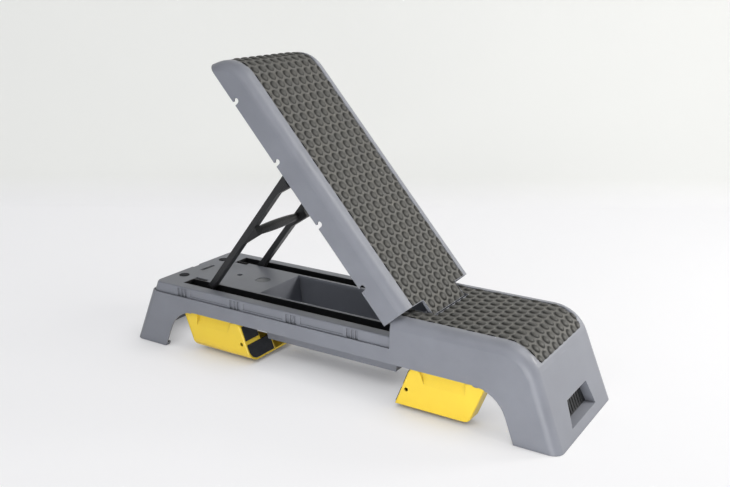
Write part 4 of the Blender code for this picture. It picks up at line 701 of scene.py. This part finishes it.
class AEROBIC_OT_rubber_pads(Operator):
    """Finish the bumpers, the floor pads and the pads on the legs"""

    bl_idname = "aerobic.rubber_pads"
    bl_label = "Rubber pads"

    def execute(self, context):
        finish = context.scene.step_finish
        # Soft moulded rubber: dull, slightly blue, with dust in its grain. The grain of its kind is
        # about 0.2 mm; it is drawn at 1.4 mm, so that it shows.
        pad = moulded_rubber("rubber_moulded_pads", finish.pad, finish.pad_dust, roughness=0.72,
                             grain_mm=1.4, relief_mm=0.10)
        rounded = {"leg_left_pad_lower_front": -1, "leg_right_pad_lower_back": 1}
        names = nodes_named("bumper_", "floor_pad_")
        names += [name for name in nodes_named("leg_") if "_pad_" in name]
        dress(pad, *[name for name in names if name not in rounded])
        for node, side in rounded.items():
            corner = corner_outline(side, LEG_HALF - PAD_RIM, LEG_LOW + PAD_RIM, LEG_ROUND - PAD_RIM)
            smooth_copy(f"{node}_round", node, node[:node.index("_pad")], pad,
                        [prism(corner, 0, -TOOL_HALF, TOOL_HALF)])
        return {"FINISHED"}


class AEROBIC_OT_steel(Operator):
    """Finish the hinge rod and the pins"""

    bl_idname = "aerobic.steel"
    bl_label = "Steel rod and pins"

    def execute(self, context):
        finish = context.scene.step_finish
        names = ["hinge_rod"] + [name for name in frame["nodes"] if "_pin_" in name]
        dress(zinc_plated_steel(finish.zinc_dull, finish.zinc_bright), *names)
        return {"FINISHED"}


def stud_rise(settings, x, y):
    """Height of the studs at a place on a mat: round domes in staggered rows."""
    row = (x - settings.first_row) / settings.pitch_along
    best = 0.0
    for index in (math.floor(row), math.floor(row) + 1):
        shift = 0.5 * (index % 2)
        column = round(y / settings.pitch_across - shift) + shift
        across = (y - column * settings.pitch_across) / (settings.stud_across / 2)
        along = (x - settings.first_row - index * settings.pitch_along) / (settings.stud_along / 2)
        reach = math.hypot(across, along)
        if reach < 1.0:
            best = max(best, (1.0 - reach * reach) ** STUD_FULLNESS)
    return best * settings.stud_height


def path_places(start, end, edges, cell):
    """Even steps along a mat from start to end that also meet the given edges."""
    stops = [start] + sorted(edges, reverse=end < start) + [end]
    places = [start]
    for near, far in zip(stops, stops[1:]):
        count = max(1, math.ceil(abs(far - near) / cell))
        places += [near + (far - near) * (index + 1) / count for index in range(count)]
    return places


def top_point(along, y, rise):
    """A point above the moulding's top: along runs flat and then down the curve to the end."""
    side = 1 if along > 0 else -1
    past = abs(along) - SHOULDER_X
    if past <= 0:
        return Vector((along, y, TOP_Z + rise))
    turn = past / SHOULDER_RADIUS
    reach = SHOULDER_RADIUS + rise
    x = side * (SHOULDER_X + reach * math.sin(turn))
    return Vector((x, y, TOP_Z - SHOULDER_RADIUS + reach * math.cos(turn)))


def half_width(along, end_reach):
    """Half width of a mat, which shrinks at its rounded end corners."""
    past = abs(along) - SHOULDER_X
    curved = SHOULDER_X + SHOULDER_RADIUS * math.sin(past / SHOULDER_RADIUS)
    plan = abs(along) if past <= 0 else curved
    depth = plan - (end_reach - MAT_CORNER)
    if depth <= 0:
        return MAT_HALF
    return MAT_HALF - MAT_CORNER + math.sqrt(max(0.0, MAT_CORNER ** 2 - depth ** 2))


def lines_across(edge, cell):
    """Places of a mat's cells across it, and the indices of the two that lie on an inner edge."""
    half = path_places(0.0, MAT_HALF, [edge], cell)
    lines = [-y for y in reversed(half[1:])] + half
    return lines, (lines.index(-edge), lines.index(edge))


def studded_mat(settings, places, lines, spans_at, end_reach):
    """A mat over a grid of cells: studs on top, upright sides and a plain underside.

    spans_at gives, for a place along the mat, the pairs of lines that it lies between there.
    """
    valley = settings.stud_top - settings.stud_height
    bm = bmesh.new()
    share = bm.verts.layers.float.new("stud_share")
    tops = {}
    lows = {}

    def line_y(i, j):
        return lines[j] * half_width(places[i], end_reach) / MAT_HALF

    def top(i, j):
        if (i, j) not in tops:
            y = line_y(i, j)
            rise = stud_rise(settings, places[i], y)
            tops[i, j] = bm.verts.new(top_point(places[i], y, valley + rise))
            tops[i, j][share] = rise / settings.stud_height
        return tops[i, j]

    def low(i, j):
        if (i, j) not in lows:
            lows[i, j] = bm.verts.new(top_point(places[i], line_y(i, j), -MAT_BASE))
        return lows[i, j]

    before = []
    for i in range(len(places)):
        spans = spans_at((places[i] + places[i + 1]) / 2) if i + 1 < len(places) else []
        marks = sorted({j for span in before + spans for j in span})
        for j0, j1 in zip(marks, marks[1:]):
            covered = [any(a <= j0 and j1 <= b for a, b in group) for group in (before, spans)]
            if covered[0] != covered[1]:
                bm.faces.new([top(i, j) for j in range(j0, j1 + 1)] + [low(i, j1), low(i, j0)])
        for j0, j1 in spans:
            for j in range(j0, j1):
                bm.faces.new((top(i, j), top(i + 1, j), top(i + 1, j + 1), top(i, j + 1)))
            bm.faces.new((top(i, j0), top(i + 1, j0), low(i + 1, j0), low(i, j0)))
            bm.faces.new((top(i, j1), top(i + 1, j1), low(i + 1, j1), low(i, j1)))
            stops = [j for j in marks if j0 <= j <= j1]
            for a, b in zip(stops, stops[1:]):
                bm.faces.new((low(i, a), low(i + 1, a), low(i + 1, b), low(i, b)))
        before = spans
    return bm


def finish_mat(bm, name, material, body, node, turn=0.0):
    """Close a mat's mesh, turn it with its body and let it stand for its CAD node."""
    bmesh.ops.recalc_face_normals(bm, faces=bm.faces)
    bm.transform(Matrix.Translation(HINGE_PLACE) @ Matrix.Rotation(turn, 4, "Y")
                 @ Matrix.Translation(-HINGE_PLACE))
    mesh = mesh_of(bm, name)
    mesh.materials.append(material)
    shade_round(mesh, sharp_degrees=50)
    piece = linked(name, mesh)
    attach(piece, body)
    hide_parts(node)


class AEROBIC_OT_mats(Operator):
    """Build the two studded non-slip mats"""

    bl_idname = "aerobic.mats"
    bl_label = "Studded mats"

    def execute(self, context):
        settings = context.scene.step_mats
        finish = context.scene.step_finish
        # Moulded thermoplastic rubber: dark and warm, dull in the valleys, smoother on the studs.
        # The grain of its kind is about 0.2 mm; it is drawn at 1.2 mm, so that it shows.
        rubber = moulded_rubber("rubber_moulded_mat", finish.mat, finish.mat_dust, roughness=0.58,
                                grain_mm=1.2, relief_mm=0.12, stud=finish.stud)
        cell = settings.cell
        arc_end = SHOULDER_X + SHOULDER_RADIUS * SHOULDER_SWEEP
        reach = SHOULDER_X + SHOULDER_RADIUS * math.sin(SHOULDER_SWEEP)

        lines, tongue = lines_across(TONGUE_HALF, cell)
        whole = (0, len(lines) - 1)
        places = path_places(TONGUE_EDGE, -arc_end, [LEFT_EDGE], cell)
        bm = studded_mat(settings, places, lines,
                         lambda x: [tongue] if x > LEFT_EDGE else [whole], reach)
        finish_mat(bm, "backrest_studded_mat", rubber, "backrest", "backrest_mat", BACKREST_ANGLE)

        lines, notch = lines_across(NOTCH_HALF, cell)
        whole = (0, len(lines) - 1)
        arms = [(0, notch[0]), (notch[1], whole[1])]
        places = path_places(SEAT_EDGE, arc_end, [NOTCH_EDGE], cell)
        bm = studded_mat(settings, places, lines,
                         lambda x: arms if x < NOTCH_EDGE else [whole], reach)
        finish_mat(bm, "seat_studded_mat", rubber, "base", "seat_mat")
        return {"FINISHED"}


def sheet_profile():
    """Floor, bend and wall of the studio's sheet, as pairs of reach along the view and height."""
    bend_start = SHEET_WALL - SHEET_BEND
    profile = [(-SHEET_FRONT, 0.0), (0.0, 0.0), (bend_start, 0.0)]
    for index in range(1, BEND_STEPS + 1):
        turn = index / BEND_STEPS * math.pi / 2
        profile.append((bend_start + SHEET_BEND * math.sin(turn),
                        SHEET_BEND - SHEET_BEND * math.cos(turn)))
    profile.append((SHEET_WALL, SHEET_HEIGHT))
    return profile


def studio_paper(settings):
    """Matte coated paper: almost no sheen, a faint fibre tone, and a darker shade by the step."""
    made, tree, shader = new_material("paper_coated_white")
    place = add_node(tree, "ShaderNodeTexCoord").outputs["Object"]
    height = add_node(tree, "ShaderNodeSeparateXYZ", {"Vector": place}).outputs["Z"]
    upright = add_node(tree, "ShaderNodeMapRange", {
        "Value": height, "From Min": 0.0, "From Max": SHEET_BEND})
    paper = add_node(tree, "ShaderNodeMix", {
        "Factor": upright.outputs["Result"], 6: srgb(settings.floor),
        7: srgb(settings.wall)}, data_type="RGBA")
    fibre = add_node(tree, "ShaderNodeTexNoise", {
        "Vector": place, "Scale": FIBRE_SCALE, "Detail": 3.0})
    tone = add_node(tree, "ShaderNodeMapRange", {
        "Value": fibre.outputs["Fac"], "To Min": 0.985, "To Max": 1.0})
    colour = add_node(tree, "ShaderNodeVectorMath", {
        0: paper.outputs[2], "Scale": tone.outputs["Result"]}, operation="SCALE")
    tree.links.new(colour.outputs["Vector"], shader.inputs["Base Color"])
    shader.inputs["Roughness"].default_value = 0.9
    shader.inputs["Specular IOR Level"].default_value = 0.1
    # The eye sees the paper lit and partly by its own colour, also in reflections, so it stays pale.
    path = add_node(tree, "ShaderNodeLightPath")
    seen = path.outputs["Is Camera Ray"]
    for ray in ("Is Glossy Ray", "Is Transmission Ray"):
        seen = add_node(tree, "ShaderNodeMath", {
            0: seen, 1: path.outputs[ray]}, operation="MAXIMUM").outputs[0]
    open_sky = add_node(tree, "ShaderNodeAmbientOcclusion", {"Distance": SHADE_REACH}, samples=6)
    share = add_node(tree, "ShaderNodeMath", {
        0: seen, 1: settings.paper_glow}, operation="MULTIPLY")
    share = add_node(tree, "ShaderNodeMath", {
        0: share.outputs["Value"], 1: open_sky.outputs["AO"]}, operation="MULTIPLY")
    glow = add_node(tree, "ShaderNodeEmission", {
        "Color": colour.outputs["Vector"], "Strength": 1.0})
    both = add_node(tree, "ShaderNodeMixShader", {
        0: share.outputs["Value"], 1: shader.outputs["BSDF"], 2: glow.outputs["Emission"]})
    # The sheet's back is open to the eye, so that the step can be seen from behind the wall too.
    behind = add_node(tree, "ShaderNodeNewGeometry").outputs["Backfacing"]
    clear = add_node(tree, "ShaderNodeBsdfTransparent")
    one_sided = add_node(tree, "ShaderNodeMixShader", {
        0: behind, 1: both.outputs["Shader"], 2: clear.outputs["BSDF"]})
    output = next(node for node in tree.nodes if node.type == "OUTPUT_MATERIAL")
    tree.links.new(one_sided.outputs["Shader"], output.inputs["Surface"])
    return made


class AEROBIC_OT_stage(Operator):
    """Build the floor, the wall, the lamps and the camera"""

    bl_idname = "aerobic.stage"
    bl_label = "Studio"

    def execute(self, context):
        settings = context.scene.step_stage
        scene = context.scene
        azimuth = settings.azimuth
        level = Vector((-math.sin(azimuth), math.cos(azimuth), 0.0))
        across = Vector((math.cos(azimuth), math.sin(azimuth), 0.0))

        bm = bmesh.new()
        left, right = [[bm.verts.new(level * reach + across * side + Vector((0.0, 0.0, z)))
                        for reach, z in sheet_profile()] for side in (-SHEET_HALF, SHEET_HALF)]
        for near_left, near_right, far_right, far_left in zip(left, right, right[1:], left[1:]):
            bm.faces.new((near_left, near_right, far_right, far_left))
        # The floor's face looks up, because its back isn't seen.
        bm.normal_update()
        bm.faces.ensure_lookup_table()
        if bm.faces[0].normal.z < 0:
            bmesh.ops.reverse_faces(bm, faces=bm.faces)
        mesh = mesh_of(bm, "studio_sweep")
        mesh.shade_smooth()
        mesh.materials.append(studio_paper(settings))
        sweep = linked("studio_sweep", mesh)

        world = bpy.data.worlds.new("studio_room")
        world.use_nodes = True
        background = world.node_tree.nodes["Background"]
        background.inputs["Color"].default_value = srgb(settings.room)
        background.inputs["Strength"].default_value = settings.sky
        scene.world = world

        for word, place, aim, width, depth, tint in LAMPS:
            lamp = bpy.data.lights.new(f"{word}_lamp", "AREA")
            lamp.shape = "ELLIPSE"
            lamp.size = width
            lamp.size_y = depth
            lamp.energy = getattr(settings, word)
            lamp.color = tint
            holder = linked(f"{word}_lamp", lamp)
            holder.location = place
            holder.rotation_euler = (Vector(aim) - Vector(place)).to_track_quat("-Z", "Y").to_euler()

        camera = bpy.data.cameras.new("studio_camera")
        camera.sensor_width = SENSOR_MM
        camera.lens = settings.focal_pixels * SENSOR_MM / settings.picture_width
        camera.clip_end = VIEW_END
        holder = linked("studio_camera", camera)
        forward = Vector((-math.sin(azimuth) * math.cos(settings.pitch),
                          math.cos(azimuth) * math.cos(settings.pitch), -math.sin(settings.pitch)))
        right = forward.cross(Vector((0.0, 0.0, 1.0))).normalized()
        up = right.cross(forward)
        turned = right * math.cos(settings.roll) + up * math.sin(settings.roll)
        up = turned.cross(forward)
        axes = Matrix((turned, up, -forward)).transposed().to_4x4()
        holder.matrix_world = Matrix.Translation(settings.camera_place) @ axes
        scene.camera = holder
        scene.view_settings.view_transform = "Standard"
        return {"FINISHED"}


class AEROBIC_PT_steps(Panel):
    """The operators in the order in which they run"""

    bl_idname = "AEROBIC_PT_steps"
    bl_label = "Aerobic Step"
    bl_space_type = "VIEW_3D"
    bl_region_type = "UI"
    bl_category = "Aerobic Step"

    def draw(self, context):
        scene = context.scene
        for step in STEPS:
            self.layout.operator(step.bl_idname)
        for group in (scene.step_mats, scene.step_finish, scene.step_stage):
            box = self.layout.box()
            for name in group.bl_rna.properties.keys():
                if name not in ("rna_type", "name"):
                    box.prop(group, name)


STEPS = (AEROBIC_OT_shells, AEROBIC_OT_legs, AEROBIC_OT_black_parts, AEROBIC_OT_rubber_pads,
         AEROBIC_OT_steel, AEROBIC_OT_mats, AEROBIC_OT_stage)
CLASSES = (StepMatSettings, StepFinishSettings, StepStageSettings, *STEPS, AEROBIC_PT_steps)


def register():
    """Register the classes and hang the settings on the scene."""
    for cls in CLASSES:
        bpy.utils.register_class(cls)
    bpy.types.Scene.step_mats = PointerProperty(type=StepMatSettings)
    bpy.types.Scene.step_finish = PointerProperty(type=StepFinishSettings)
    bpy.types.Scene.step_stage = PointerProperty(type=StepStageSettings)


def unregister():
    """Take the settings and the classes away again."""
    del bpy.types.Scene.step_stage
    del bpy.types.Scene.step_finish
    del bpy.types.Scene.step_mats
    for cls in reversed(CLASSES):
        bpy.utils.unregister_class(cls)


def main():
    """Run every step in order."""
    register()
    bpy.ops.aerobic.shells()
    bpy.ops.aerobic.legs()
    bpy.ops.aerobic.black_parts()
    bpy.ops.aerobic.rubber_pads()
    bpy.ops.aerobic.steel()
    bpy.ops.aerobic.mats()
    bpy.ops.aerobic.stage()


if __name__ == "__main__":
    main()
